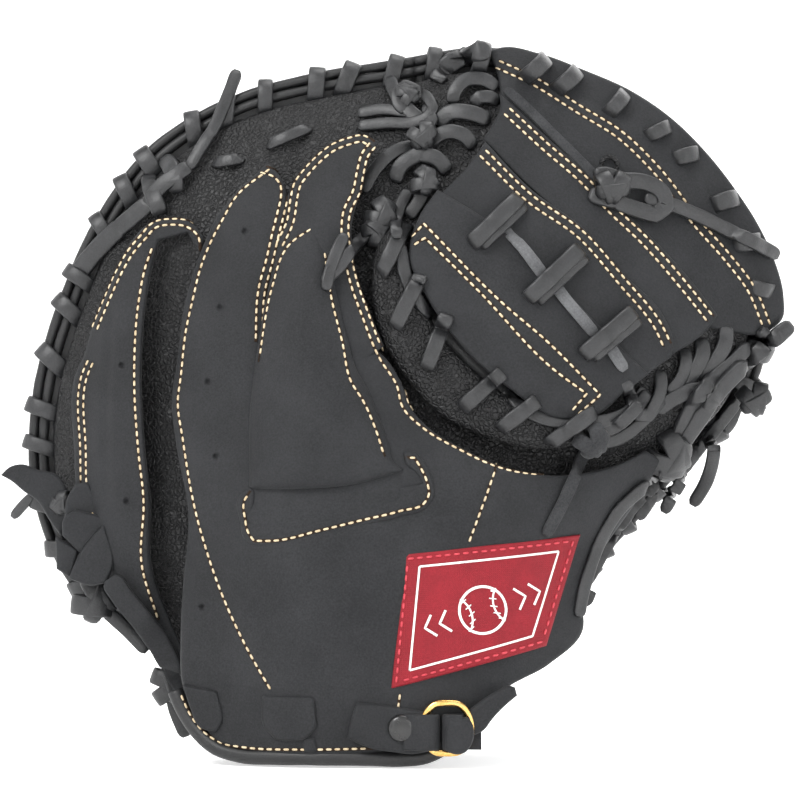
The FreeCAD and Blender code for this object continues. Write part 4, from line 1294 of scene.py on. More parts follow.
class Label(Dressed):
    """The woven label: a red field with a thin white border, red stitching and a plain ball-seam motif."""

    MIDDLE = (29.7, 58.8)
    BORDER = 0.84

    @staticmethod
    def ribbon(heap: Heap, line: Sequence[Point], width: float, lift: float) -> None:
        """Lay a thin strip on the label."""
        fine = smooth_line(line, 1.0)
        points = np.array([(x, SKIN.top(x, z, ("label_patch",))[0] - lift, z) for x, z in fine])
        heap.add(*sweep(points, np.tile([0.0, -1.0, 0.0], (len(points), 1)), flat_section(width, 0.3, 8)))

    def build(self) -> None:
        """Make the label."""
        shape = lambda x, z: 0.9 * np.exp(-(((x - 30) / 30) ** 2 + ((z - 58) / 22) ** 2))
        Leather("label_patch", PATCH, hand_face, ("label_patch",), Body.HAND, lift=6.1, thick=1.5, edge=0.8,
                step=1.7,
                slot="label", shape=shape).build(self.finish["label"])
        white = Heap()
        edge = [(2.9, 76.4), (64.5, 82.4), (52.7, 45.4), (-1.4, 31.0)]
        sides = [(edge[k], edge[(k + 1) % 4]) for k in range(4)]
        mid_x, mid_z = self.MIDDLE
        for side in sides:
            inner = [(mid_x + (x - mid_x) * self.BORDER, mid_z + (z - mid_z) * self.BORDER) for x, z in side]
            self.ribbon(white, inner, 0.8, 0.12)
        turn = math.radians(17)

        def place(a: float, b: float) -> Point:
            """Turn a point of the motif onto the label."""
            a, b = a * 1.35, b * 1.35
            return (30.5 + a * math.cos(turn) - b * math.sin(turn),
                    57.5 + a * math.sin(turn) + b * math.cos(turn))

        ring = [place(6.4 * math.cos(t), 6.4 * math.sin(t)) for t in np.arange(0, 2 * math.pi + 0.01,
                                                                               math.pi / 12)]
        self.ribbon(white, ring, 1.0, 0.12)
        for side in (-1, 1):
            arc = [place(side * (8.6 - 5.4 * math.cos(t)), 6.0 * math.sin(t) * 1.02)
                   for t in np.arange(-0.86, 0.87, 0.172)]
            self.ribbon(white, arc, 0.7, 0.12)
            for t in np.arange(-0.7, 0.71, 0.35):
                x, z = side * (8.6 - 5.4 * math.cos(t)), 6.0 * math.sin(t)
                self.ribbon(white, [place(x - 0.9, z + 0.5 * side), place(x + 0.9, z - 0.3 * side)], 0.45,
                            0.12)
            for k in range(2):
                a = side * (11 + 4.2 * k)
                tip, tail = a + 1.3 * side, a - 1.3 * side
                self.ribbon(white, [place(tail, -3), place(tip, 0), place(tail, 3)], 0.9, 0.12)
        white.make("label_white", self.finish["label_white"], Body.HAND)
        # The label's stitches get no painted shadow strip.
        stitches("label_stitches", sides, self.finish["thread_red"], Body.HAND, ("label_patch",), pitch=3.4,
                 painted_shadow=False)


class Seams:
    """The cream stitching of the back."""

    SHELL = [(-49, 221.5), (-61.6, 211), (-66.5, 202.5), (-71, 194), (-75, 183.5), (-77.5, 173), (-80, 161.5),
             (-82, 143), (-83, 135), (-81, 120), (-76, 93), (-67.6, 66.5), (-57, 43.7), (-47.5, 27.4)]
    RING = [(-52, 221.5), (-46.7, 219.6), (-43.7, 216), (-43.3, 211), (-44.5, 205), (-46.7, 195.7),
            (-48.6, 187),
            (-51.3, 176.7), (-52.4, 156)]
    ARC = [(-45, 192.7), (-41, 201.4), (-39.5, 211), (-38.4, 215.5), (-35.3, 220), (-30.4, 225.3),
           (-25, 229.5),
           (-19, 232), (-14, 233), (-10.3, 230.7)]
    CROTCH = [(-10.3, 230.7), (-13, 227), (-14.8, 220.4), (-16.3, 212.8), (-19.8, 205), (-20.5, 197.6),
              (-20, 192),
              (-17, 178), (-13.3, 167.6), (-6.5, 151), (0, 140.6), (2, 133), (9.5, 125.4), (22.4, 117.8),
              (38.8, 110.6), (52.4, 108.3), (67.6, 109), (82.5, 113), (90, 116.7)]
    HOOD_LEFT = [(-30.4, 200.3), (-41.8, 192), (-47.5, 176.7), (-51.3, 156), (-52.2, 149)]
    HOOD_RIGHT = [(-28, 189.6), (-25.5, 173), (-21.3, 156), (-18.2, 142), (-13.3, 134), (-9.5, 125.4),
                  (-5.7, 114)]
    SLOT = [(0.4, 113.6), (5.3, 113.6), (7.6, 110), (10, 104.5), (10.6, 100), (9, 97), (0, 94), (-15, 90.4),
            (-30.4, 86.6), (-45.6, 83), (-54, 82.8), (-56, 85.5), (-57.4, 91), (-57.8, 97), (-54.7, 102)]
    PINKY = [(-114.4, 161.5), (-109.4, 173), (-104.5, 183.5), (-100.7, 190), (-96, 195.7), (-92, 200),
             (-86.6, 201),
             (-80, 200), (-76, 196.5), (-75, 191)]
    PINKY_LEFT = [(-117.8, 150), (-119.7, 146), (-120.8, 116), (-119.7, 97), (-110, 74)]
    PINKY_RIGHT = [(-93.5, 192), (-96, 184), (-98, 173), (-99.6, 142.5), (-98, 116), (-96, 97), (-97, 74),
                   (-91, 51)]
    WEB = [([(4.5, 195.6), (8.8, 200.6), (38.4, 170.6), (54.3, 157), (74.5, 136.8), (66, 129.4)], "web_low"),
           ([(5.2, 192.6), (9.3, 195.2), (29, 175.6), (58, 145.5), (69.4, 137.2), (64, 131)], "web_low"),
           ([(31, 227.6), (48.3, 210.5), (67.6, 196.8), (83, 179.4), (97, 162), (100.3, 155)], "web_middle"),
           ([(40.3, 244), (54.3, 230.7), (68.8, 218), (78.7, 207.5), (93, 193.8), (106.8, 178), (117.4, 165)],
            "web_upper"),
           ([(37, 262.6), (51.3, 255.7), (68, 245), (83, 235.6), (97, 222), (112.5, 201.8), (124, 189),
             (133, 177.5), (139.5, 163)], "web_outer")]

    def __init__(self, thread: bpy.types.Material) -> None:
        """Keep the thread."""
        self.thread = thread

    def build(self) -> None:
        """Sew the seams."""
        twin, narrow = (-1.5, 1.5), (-1.25, 1.25)
        sew = lambda name, lines, only, offsets=(0.0,), body=Body.HAND: stitches(
            name, lines, self.thread, body, only, offsets=offsets)
        sew("stitch_shell", [self.SHELL], ("back_shell",))
        sew("stitch_ring_finger", [self.RING], ("back_shell", "index_back"), narrow)
        sew("stitch_index", [self.ARC], ("index_back", "back_shell"), narrow)
        sew("stitch_crotch", [self.CROTCH], ("index_back", "back_shell"), narrow)
        sew("stitch_hood", [self.HOOD_LEFT, self.HOOD_RIGHT], ("finger_hood",))
        sew("stitch_slot", [self.SLOT], ("slot_frame", "finger_hood"))
        sew("stitch_thumb_seam", [[(36, 111.3), (33.8, 105), (25.5, 82.5)], [(0, 26.6), (-0.8, 21)]],
            ("back_shell",))
        sew("stitch_pinky", [self.PINKY, self.PINKY_LEFT], ("pinky_back",), (0.0, 2.2), Body.PINKY)
        sew("stitch_pinky_fold", [self.PINKY_RIGHT], ("pinky_back",), (0.0,), Body.PINKY)
        for k, (line, name) in enumerate(self.WEB):
            sew(f"stitch_web_{k}", [line], (name,), twin if k > 1 else (0.0,))


class Rim(Dressed):
    """The bound rim: a sewn edge, two thin rolls and the laces wound over them, in two halves."""

    HALVES = (("fingers", Body.PINKY, 88.0, 268.0, ("pinky",)),
              ("thumb", Body.THUMB, 268.0, 448.0, ("thumb", "hand")))
    GAPS = ((226.0, 239.0), (286.0, 303.0))
    STEP = 7.6

    @staticmethod
    def line(start: float, stop: float, out: float, forward: float) -> np.ndarray:
        """Return points along the rim."""
        return np.array([tuple(BOWL.rim(float(a), out, forward)) for a in np.arange(start, stop + 0.01, 1.5)])

    def roll(self, heap: Heap, start: float, stop: float) -> None:
        """Add the rolls of one arc and the edge that they are sewn on."""
        up = np.array([0.0, -1.0, 0.0])
        for out, forward, radius in ((2.6, 0.6, 1.9), (-1.4, -1.0, 1.9)):
            points = self.line(start, stop, out, forward)
            size = 1 + 0.12 * rough(points, 8.0, 6.0)
            heap.add(*sweep(points, np.tile(up, (len(points), 1)), round_section(radius, 10), scale=size))
        points = self.line(start, stop, -4.6, 1.2)
        heap.add(*sweep(points, np.tile(up, (len(points), 1)), flat_section(11.0, 3.4, 12)))

    def sewn(self, heap: Heap, start: float, stop: float) -> None:
        """Add the stitches of one arc, on both sides of the sewn edge."""
        for forward, up in ((-0.6, (0.0, -1.0, 0.0)), (3.0, (0.0, 1.0, 0.0))):
            line = self.line(start, stop, -8.6, forward)
            along = np.concatenate([[0], np.cumsum(np.linalg.norm(np.diff(line, axis=0), axis=1))])
            for at in np.arange(1.0, along[-1] - 3, 3.3):
                points = np.stack([np.interp(at + np.array([0, 1.0, 2.0]), along,
                                             line[:, k]) for k in range(3)], axis=1)
                heap.add(*sweep(points, np.tile(up, (3, 1)), round_section(0.42, 6),
                                scale=np.array([0.5, 1, 0.5])))

    def wraps(self, heap: Heap, start: float, stop: float) -> None:
        """Add the wound laces of one arc."""
        count = max(1, round((stop - start) / self.STEP))
        for k in range(count):
            angle = start + (k + 0.5) * (stop - start) / count + 1.1 * math.sin(k * 2.3)
            if any(low < angle < high for low, high in self.GAPS):
                continue
            web = float(ease(np.array((40 - abs((angle - 42 + 180) % 360 - 180)) / 8)))
            middle = BOWL.rim(angle, -1.0 - 0.5 * web, -0.6 - 8 * web)
            along = BOWL.rim(angle + 1) - BOWL.rim(angle - 1)
            outward = BOWL.rim(angle, 5.0) - BOWL.rim(angle)
            lean = 0.42 + 0.2 * math.sin(k * 1.9)
            axis = (along.normalized() + outward.normalized() * lean).normalized()
            band(heap, middle, axis, outward, 6.6, 4.6 + 10 * web, width=6.2 + 0.6 * math.sin(k * 1.3),
                 thick=2.3)

    def build(self) -> None:
        """Make both halves."""
        for name, moving, start, stop, parts in self.HALVES:
            rolls, wraps, sewn = Heap(), Heap(), Heap()
            self.roll(rolls, start, stop)
            self.sewn(sewn, start, stop)
            self.wraps(wraps, start, stop)
            pieces = (rolls.make(f"rim_roll_{name}", self.finish["roll"], None,
                                 [f"rim_roll_{part}" for part in parts], "leather", skin=True),
                      wraps.make(f"rim_lace_{name}", self.finish["lace"], None,
                                 [f"rim_lace_{part}" for part in parts], "lace", skin=True),
                      sewn.make(f"stitch_rim_{name}", self.finish["thread"], None))
            for piece in pieces:
                bend_over(piece)


def bridge(a: Point, b: Point, high: float = 3.4, sunk: float = -1.2) -> list[Point]:
    """Return the path of a lace that comes out at one point, arches over and goes in at another."""
    at = lambda share, lift: (a[0] + (b[0] - a[0]) * share, a[1] + (b[1] - a[1]) * share, lift)
    return [at(0.0, sunk), at(0.06, high * 0.45), at(0.25, high * 0.9), at(0.5, high), at(0.75, high * 0.9),
            at(0.94, high * 0.45), at(1.0, sunk)]


class Laces(Dressed):
    """Laces, knots and thongs of the back, each laid on the leather below it."""

    WEB_LOOPS = [((44.5, 210.5), (26.6, 193)), ((67.5, 191.5), (47.5, 172.5)), ((87.5, 168), (68, 151.5))]
    WEB_STRIPS = [[(38, 199, 0.2), (44, 193.5, 1.4), (50, 186, 1.4), (54, 180.5, 0.4)],
                  [(57, 178.5, 0.2), (62, 172, 1.4), (68, 165, 1.3), (73, 159, 0.4)],
                  [(77.5, 156, 0.2), (80, 152, 1.2), (84, 146, 0.2)]]
    TOP_STRIP = [(40, 252.7, 0.0), (44, 249, 1.2), (60, 233, 1.4), (76, 216.5, 1.4), (80, 212, 0.6)]
    CROTCH = [((2.1, 201), (-6.9, 182)), ((7.6, 181), (-2, 162)), ((17.3, 166.5), (9.8, 146.5)),
              ((38, 145), (23, 132)), ((50.8, 134.5), (37, 124)), ((72.5, 130.5), (55.5, 118.8))]
    STRAND = [(-0.1, 193, 1.3), (2.9, 178.6, 1.5), (12.6, 164.4, 1.5), (31.4, 144.9, 1.5), (52.4, 128.3, 1.7),
              (67.5, 126.2, 2.2), (86.2, 131.4, 2.4), (92, 139.6, 1.0)]
    FINGERS = [  # (path, width, thickness)
        ([(-16, 238.6, 1.0), (-5, 239.6, 2.2), (6, 240, 2.6), (10.5, 242, 3.5), (12.6, 245.5, 4.0),
          (10, 250, 3.6),
          (7.5, 251.5, 2.0)], 4.6, 2.2),
        ([(-16, 243.6, 1.0), (-6, 245, 2.0), (3, 243.6, 3.0), (-0.6, 247, 4.4), (-1.4, 251, 5.0),
          (2, 254.4, 5.0),
          (6, 252.6, 4.4), (6.4, 248.6, 3.4)], 4.6, 2.2),
        ([(14, 256, 1.0), (18.5, 262.5, 3.0), (25, 266, 3.5), (34, 267.5, 2.5)], 8.0, 2.6),
        ([(20, 247, 0.5), (20.5, 251, 3.2), (25, 256.2, 4.6), (31, 256.6, 4.4), (37, 253, 0.6)], 5.6, 2.2),
        ([(27.5, 246.5, 0.0), (30, 249.5, 3.0), (34, 249.6, 2.6), (37.5, 247.6, 0.0)], 5.2, 2.2),
        ([(10.5, 230, 0.5), (13, 233.6, 3.8), (18.7, 236, 4.6), (24, 234.6, 3.6), (28, 230, 0.2)], 5.8, 2.3),
        ([(14, 239, 0.5), (19, 243.5, 3.2), (26, 243.4, 3.6), (34, 240.5, 0.4)], 6.4, 2.3),
        ([(-2, 217, 0.5), (0.5, 223, 4.0), (7.2, 227.6, 5.0), (13, 226, 4.4), (18.4, 220.6, 0.2)], 6.2, 2.4),
        ([(8, 224, 1.0), (9.4, 219, 4.0), (9.4, 214.4, 4.6), (7, 209, 3.0), (3, 203.6, 1.0)], 5.4, 2.3),
        ([(3.4, 214, 1.0), (0.6, 208.6, 2.4), (-1.6, 200.5, 2.0), (-1, 195, 0.5)], 4.8, 2.2),
        ([(-14, 213, 0.5), (-9, 222, 2.6), (-1, 229, 3.0), (6, 231, 1.4)], 5.4, 2.3),
        ([(-4, 258, 0.0), (-2, 252, 3.0), (2, 246, 3.6), (8.6, 240, 2.0)], 5.6, 2.3),
        ([(9.6, 246.8, 3.0), (12, 241, 3.4), (9, 235, 3.4), (5.6, 231, 1.2)], 4.8, 2.2),
    ]
    FINGER_KNOTS = [(8.6, 234.0, 3.4, 30, 0.95), (9.6, 216.4, 3.6, 70, 0.95), (3.0, 250.2, 4.2, 120, 0.8),
                    (-6.6, 203.5, 3.0, 60, 1.15), (-8.6, 197.6, 3.4, 130, 0.95)]
    FINGER_TAIL = [(-9, 200, 3.4), (-15, 194.6, 3.2), (-22, 185, 2.2), (-28.4, 178.6, 1.4)]
    STUB = [(-27.4, 175.6, 1.0), (-26.2, 182, 2.6), (-23.5, 190, 3.0), (-20.4, 196.6, 1.8)]
    LINER = [((-49.6, 231.6), (-34.9, 238.0)), ((-70, 225.0), (-60.4, 226.2))]
    THUMB = [
        ([(97.8, 146.5, -1.0), (98, 139, 2.0), (93.5, 129.2, 3.6), (89.4, 129.4, 3.4), (86.6, 135, 2.2),
          (84, 142, -1.0)],
         5.2, 2.2),
        ([(107.1, 154.5, -1.0), (107.6, 149, 2.6), (105.6, 143, 3.2), (101, 137.5, 1.4)], 5.2, 2.2),
        ([(113.5, 158.5, -1.0), (114, 152, 3.0), (110.5, 145, 3.8), (105, 139.5, 1.6)], 6.0, 2.3),
        ([(123.5, 163, -1.0), (122.4, 155, 3.0), (118.5, 149, 3.4), (112, 143, 1.4)], 6.0, 2.3),
        ([(71, 123.6, 1.5), (79.2, 124.6, 3.0), (87.3, 131.2, 3.4), (93, 138, 1.0)], 5.0, 2.2),
        ([(69, 119.2, 1.5), (80, 119.6, 2.6), (91, 127, 3.2), (99, 136, 1.6)], 5.0, 2.2),
        ([(96, 131, 1.0), (104, 136, 3.0), (112, 138.5, 5.4), (117.6, 135.4, 5.6)], 6.0, 2.4),
    ]
    THONGS = [([(139, 161.5, 3.0), (127, 150.5, 4.2), (115.3, 140.3, 4.8), (107, 127, 4.6),
                (103.5, 118, 3.0)], 5.6, 3.6),
              ([(149.0, 163.6, 7.0), (136.2, 153.1, 8.5), (119.9, 138, 8.5), (110, 124, 6.6),
                (104, 115, 3.4)], 6.6, 4.4),
              ([(133, 138, 3.0), (126, 129, 5.2), (117, 117.5, 5.2), (110, 108, 4.6), (104, 98.5, 4.6),
                (100.6, 92, 4.4)],
               4.8, 2.6),
              ([(118.6, 124, 3.0), (119.6, 114, 4.6), (117.6, 104, 5.4), (112.4, 94.4, 5.6)], 5.2, 2.6),
              ([(130.5, 133.5, 2.5), (128.6, 128, 4.6), (125.8, 122.6, 5.0)], 4.4, 2.4)]
    THUMB_KNOTS = [(101.5, 113.4, 4.4, 55, 1.6), (135.0, 135.0, 3.6, 20, 1.1)]
    EDGE_TAILS = [([(98, 106, 3.2), (91, 101.4, 3.6), (82.6, 94.2, 3.0), (77, 86, 2.4), (72, 74.6, 2.0),
                    (68.6, 64, 1.8),
                    (66.6, 54, 1.4)], 5.2, 2.3),
                  ([(100, 103, 3.2), (93.4, 96.6, 3.8), (86.4, 87.6, 3.2), (79.4, 76, 2.6), (73, 64, 2.0),
                    (70, 57, 1.0)],
                   5.4, 2.3),
                  ([(99, 99, 2.0), (96, 93.6, 3.2), (92.6, 88.6, 3.4)], 5.0, 2.3)]
    CROTCH_TAIL = [(70, 117, 1.0), (66.6, 110, 2.6), (60.6, 97, 2.0), (54, 84.6, 1.4)]

    def _make(self, name: str, lines: Sequence[tuple], nodes: Sequence[str], body: Body = Body.HAND,
              look: str = "lace", knots: Sequence[tuple] = (), only: Optional[Sequence[str]] = None) -> None:
        """Lay a group of laces and knots and make them one piece."""
        heap = Heap()
        for path, width, thick in lines:
            lay_lace(heap, path, width, thick, only)
        for x, z, lift, angle, size in knots:
            knot(heap, x, z, lift, angle, size, only)
        heap.make(name, self.finish[look], body, nodes, look.split("_")[0], skin=True)

    def build(self) -> None:
        """Lay everything that rides on the hand."""
        self._make("web_strips", [(path, 4.6, 1.5) for path in self.WEB_STRIPS], ("web_strips",),
                   look="suede")
        self._make("web_strip_top", [(self.TOP_STRIP, 3.9, 1.5)], (), look="suede_dark")
        loops = [(bridge(a, b, 4.8), 6.4, 2.5) for a, b in self.WEB_LOOPS]
        loops += [(bridge((a[0] + 1.6, a[1] - 2.6), (b[0] + 3.4, b[1] - 0.6), 2.6), 5.4, 2.3) for a,
                  b in self.WEB_LOOPS]
        self._make("web_loops", loops, ("web_loops",))
        self._make("crotch_strand", [(self.STRAND, 5.0, 2.2)], ())
        self._make("crotch_lace", [(bridge(a, b, 3.6), 6.0, 2.3) for a, b in self.CROTCH], ("crotch_lace",))
        self._make("finger_lace", self.FINGERS, ("finger_lace",))
        self._make("finger_knots", [(self.FINGER_TAIL, 4.8, 2.3), (self.STUB, 4.6, 2.0)], ("finger_knot",),
                   knots=self.FINGER_KNOTS)
        self._make("liner_lace", [(bridge(a, b, 3.2), 4.6, 2.0) for a, b in self.LINER], ())
        self._make("thumb_lace", self.THUMB, ("thumb_web_lace",))
        self._make("thumb_thongs", self.THONGS, ("thumb_thongs",), knots=self.THUMB_KNOTS)
        self._make("thumb_edge_lace", self.EDGE_TAILS, ("thumb_edge_lace",))
        self._make("crotch_tail", [(self.CROTCH_TAIL, 4.8, 2.0)], ("crotch_tail",), look="suede_dark",
                   knots=[(71.5, 119.5, 2.6, 40, 1.1)])
        self._bow()

    def _bow(self) -> None:
        """Tie the web's bow: a folded loop, a curl and a thong, and the eyelet above it."""
        path = [(73.4, 218.6, 1.0), (76, 219.6, 3.8), (84, 217.6, 5.0), (92, 217, 5.4), (99, 213, 5.8),
                (100.6, 208, 5.4),
                (96, 204.6, 4.2), (88, 207, 3.4), (78, 210.4, 2.6), (71, 212.4, 1.0)]
        thong = [(92, 211, 3.4), (98.8, 209.6, 4.0), (112, 205, 2.6), (128, 197.6, 2.0), (144.4, 190, 1.6)]
        self._make("web_bow", [(path, 6.4, 2.4), (thong, 5.4, 2.4)], ("web_bow",),
                   knots=[(79.5, 214.6, 4.2, 0, 1.15)])
        y, _ = SKIN.top(79, 223, ("web_upper", "web_outer"))
        eyelet = Heap()
        angles = np.radians(np.arange(0, 360, 15))
        ring = np.stack([79 + 3.0 * np.cos(angles), np.full(len(angles), y - 0.2),
                         223.6 + 3.0 * np.sin(angles)], axis=1)
        eyelet.add(*sweep(ring, np.tile([0.0, -1.0, 0.0], (len(angles), 1)), round_section(0.9, 8),
                          closed=True))
        eyelet.make("web_eyelet", self.finish["lining"], Body.HAND)


class PinkyStrap(Dressed):
    """The pinky's adjusting strap, its folded knot, and the knots at the lower left."""

    FLAP = [(-151.6, 106.4), (-148.3, 109.4), (-143.1, 110.5), (-138, 108.6), (-129.8, 106.4), (-126, 100.5),
            (-126, 90.1), (-128.4, 83), (-133.5, 90.1), (-137.2, 96.1), (-143.1, 100.5), (-147.6, 104.2)]
    FOLDS = [("pinky_fold_top", [(-126.9, 88.7), (-125.6, 98), (-122.4, 103.4), (-117.6, 104), (-111.6, 92.4),
                                 (-114, 88)], 5.0, 0.0),
             ("pinky_fold_left", [(-130, 83.4), (-121, 78.6), (-124, 67.4), (-129.6, 71.2)], 6.2, 0.0),
             ("pinky_fold_middle", [(-122.4, 93.6), (-112.1, 91.2), (-110.6, 88.2), (-120.2, 76.8),
                                    (-127.2, 83.8),
                                    (-126.8, 90.1)], 8.0, 0.10),
             ("pinky_fold_right", [(-111.4, 88.4), (-107.8, 73.1), (-110.2, 66), (-116.5, 65), (-125, 67.6),
                                   (-120.4, 77.8)], 9.4, -0.10)]
    STRAP = [(-109, 68, 6.6), (-104, 60.6, 6.2), (-98, 53, 6.0), (-91.4, 44, 6.0), (-86.6, 35, 5.4),
             (-80.6, 24.4, 4.6),
             (-75.4, 15, 3.0)]
    TAILS = [([(-140.2, 98.6, 3.6), (-144.4, 94.4, 3.8), (-148.4, 90, 3.8)], 3.8, 2.4),
             ([(-112.4, 55.4, 7.0), (-104.4, 48.2, 6.4), (-96, 39.4, 5.6)], 5.4, 3.0),
             ([(-86.6, 23.6, 5.2), (-85.4, 17.6, 5.2), (-81.4, 6.8, 4.6)], 5.6, 2.8)]
    KNOTS = [(-115.8, 58.6, 6.6, 60, 1.45), (-87.7, 26.4, 5.2, 100, 1.2), (-128.2, 95.6, 8.4, 30, 0.8)]
    TOP = [([(-124.1, 181.4, 2.0), (-119, 188, 3.4), (-111, 196.4, 4.2), (-102, 204, 4.8), (-94.6, 210, 4.6)],
            7.4, 2.6),
           ([(-79.9, 222.6, 3.8), (-76, 229.6, 4.6), (-71, 238, 5.4), (-67, 247.4, 6.4), (-62.3, 261, 7.4)],
            4.8, 3.0),
           ([(-95.6, 220.6, 1.0), (-95, 216, 5.2), (-92.4, 209.6, 6.2), (-90.4, 205, 2.6)], 6.4, 2.4),
           ([(-90, 227.4, 1.0), (-87, 223, 5.4), (-85.2, 217.6, 5.8), (-84.6, 213.6, 1.8)], 6.4, 2.4),
           ([(-96, 208, 4.4), (-91, 215.4, 6.0), (-85.6, 219.6, 6.0), (-79.6, 223.6, 3.6)], 6.4, 2.6)]

    def build(self) -> None:
        """Make the strap, the folds, the tails and the knots; all of them ride on the pinky."""
        shade, lace, body = self.finish["nubuck"], self.finish["lace"], Body.PINKY
        flat = lambda level, tilt: (lambda x, z: 12.0 - level + tilt * (x + 118))
        Leather("pinky_flap", self.FLAP, lambda x, z: 17.0 - 0.18 * (x + 140) - 0.2 * np.sin(x / 5),
                ("pinky_strap",),
                body, thick=2.4, step=1.8).build(shade)
        for name, outline, level, tilt in self.FOLDS:
            Leather(name, outline, flat(level, tilt), ("pinky_strap_knot",) if name.endswith("right") else (),
                    body,
                    thick=2.6, edge=1.0, step=1.6).build(shade)
        strap = Heap()
        lay_lace(strap, self.STRAP, 9.0, 2.4, ("pinky_back", "lining_fingers", "back_shell"))
        strap.make("pinky_strap_end", shade, body, (), "leather", skin=True)
        tails = Heap()
        for path, width, thick in self.TAILS:
            lay_lace(tails, path, width, thick, ("pinky_back", "lining_fingers"))
        for x, z, lift, angle, size in self.KNOTS:
            knot(tails, x, z, lift, angle, size, ("pinky_back", "lining_fingers"))
        tails.make("pinky_knots", lace, body, ("pinky_knots",), "lace")
        top = Heap()
        for path, width, thick in self.TOP:
            lay_lace(top, path, width, thick, ("pinky_back", "lining_fingers"))
        top.make("pinky_top_lace", lace, body, ("pinky_top_lace",), "lace")


class Wrist(Dressed):
    """The wrist: inside leather, loops for the strap, rolled hem, snap strap, keeper and brass ring."""

    LINING = [(-64, 5), (-70, 20), (-72, 48), (48, 52), (36, 28), (18, 6)]
    LOOP_LEFT = [(-81, 28.8), (-67.8, 26.6), (-66.5, 14), (-68.5, 11.4), (-74.4, 13), (-78.5, 21)]
    LOOP_MIDDLE = [(-51.3, 26), (-31.5, 25.6), (-30.4, 14.6), (-34.6, 10), (-45.8, 9.2), (-50.4, 14)]
    LOOP_TAB = [(-36.4, 10.6), (-31, 10.6), (-30.6, 5.4), (-35.4, 5)]
    TAB = [(-15.9, 23.6), (-17.6, 19.2), (-19.4, 10.5), (-12.4, 7.2), (-2, 5.2), (4.5, 4.6), (12.4, 6),
           (12.6, 19.6),
           (4, 21.2), (-5.4, 22.6)]
    KEEPER = [(17.6, 18.9), (25.2, 18.3), (26.8, 15.5), (27.2, 11.6), (26, 7.8), (23.4, 5.2), (20.4, 4.7),
              (16.6, 6.2),
              (16.6, 12)]
    TAB_FOLD = [(1.5, -46.4), (5.5, -47.4), (8.5, -48.8), (11, -48.8), (13.1, -47.4), (13.9, -45.3),
                (13, -43.2),
                (10.5, -42), (7, -42.2), (4, -42.8)]
    KEEPER_FOLD = [(23, -49.0), (19.5, -48.9), (17.2, -47.6), (16.2, -45.3), (17.2, -42.8), (19.5, -41.4),
                   (30, -41.2)]
    FLAP = [(25, 20.6), (31.8, 25.6), (37, 28.5), (39.4, 29.8), (42.4, 29), (43.2, 26), (38, 21.6),
            (34.2, 17.6),
            (30.7, 13.2), (25, 10.6)]
    HEM = [(-84, 26), (-80.5, 18.5), (-74.5, 10.5), (-68, 5.4), (-60, 3.2), (-46, 2.8), (-30, 2.9),
           (-14, 2.8), (0, 2.6),
           (9, 3.4), (17, 7.4), (23, 12)]
    HEM_STITCH = [(-81.7, 24.7), (-78, 17.3), (-72, 10.5), (-66.5, 7.5), (-58, 6.2), (-38, 5.9), (-22.8, 6.2),
                  (-9.5, 6.6)]

    def build(self) -> None:
        """Make the wrist."""
        nubuck, smooth = self.finish["nubuck"], self.finish["roll"]
        Leather("wrist_lining", self.LINING, lambda x, z: hand_face(x, z) + 3.4, ("wrist_lining",), thick=1.6,
                step=2.4, slot="lining").build(self.finish["lining"])
        Leather("strap_loop_left", self.LOOP_LEFT, hand_face, ("strap_loop_left",), lift=5.4, thick=1.8,
                step=1.8).build(nubuck)
        Leather("strap_loop_tab", self.LOOP_TAB, hand_face, (), lift=5.2, thick=1.5, step=1.5).build(nubuck)
        Leather("strap_loop_middle", self.LOOP_MIDDLE, hand_face, ("strap_loop_middle",), lift=5.6, thick=2.0,
                puff=0.8, puff_width=4.0, step=1.8).build(nubuck)
        hem = Heap()
        line = smooth_line(self.HEM, 1.5)
        points = np.stack([line[:, 0], hand_face(line[:, 0], line[:, 1]) - 2.4, line[:, 1]], axis=1)
        ups = np.tile([0.0, -1.0, -0.3], (len(points), 1))
        hem.add(*sweep(points, ups, round_section(3.0, 14), scale=1 + 0.08 * rough(points, 12.0, 2.0)))
        hem.make("wrist_hem", smooth, Body.HAND, ("wrist_roll",), "leather", skin=True)
        stitches("stitch_hem", [self.HEM_STITCH], self.finish["thread"], Body.HAND,
                 ("back_shell", "wrist_hem"))
        flat = lambda level: (lambda x, z: x * 0 + level)
        Leather("strap_tab", self.TAB, flat(-43.7), ("strap_tab",), Body.TAB, thick=2.5, step=1.6, ripple=0.3,
                grooves=[([(-17, 21.6), (-18.4, 11), (-11, 8.4), (4, 6.2)], 0.25, 0.7)]).build(nubuck)
        Leather("keeper_front", self.KEEPER, flat(-47.2), ("ring_keeper",), Body.HAND, thick=2.8, edge=1.8,
                step=1.5).build(nubuck)
        Leather("keeper_flap", self.FLAP, lambda x, z: -43.4 + (x - 25) * 0.16, (), Body.HAND, thick=3.0,
                edge=1.6,
                step=1.7).build(nubuck)
        self._folds(nubuck)
        self._ring()
        self._snap()

    def _folds(self, leather: bpy.types.Material) -> None:
        """Fold the tab round the ring's near bar and the keeper round its far bar."""
        for name, body, path in (("tab_fold", Body.TAB, self.TAB_FOLD),
                                 ("keeper_fold", Body.HAND, self.KEEPER_FOLD)):
            line = smooth_line(path, 0.6, corner=170)
            points = np.stack([line[:, 0], line[:, 1], line[:, 0] * 0 + 12.7], axis=1)
            along = np.gradient(line, axis=0)
            ups = np.stack([along[:, 1], -along[:, 0], along[:, 0] * 0], axis=1)
            heap = Heap()
            heap.add(*sweep(points, ups, flat_section(13.4, 1.7, 16)))
            heap.make(name, leather, body, (), "leather")

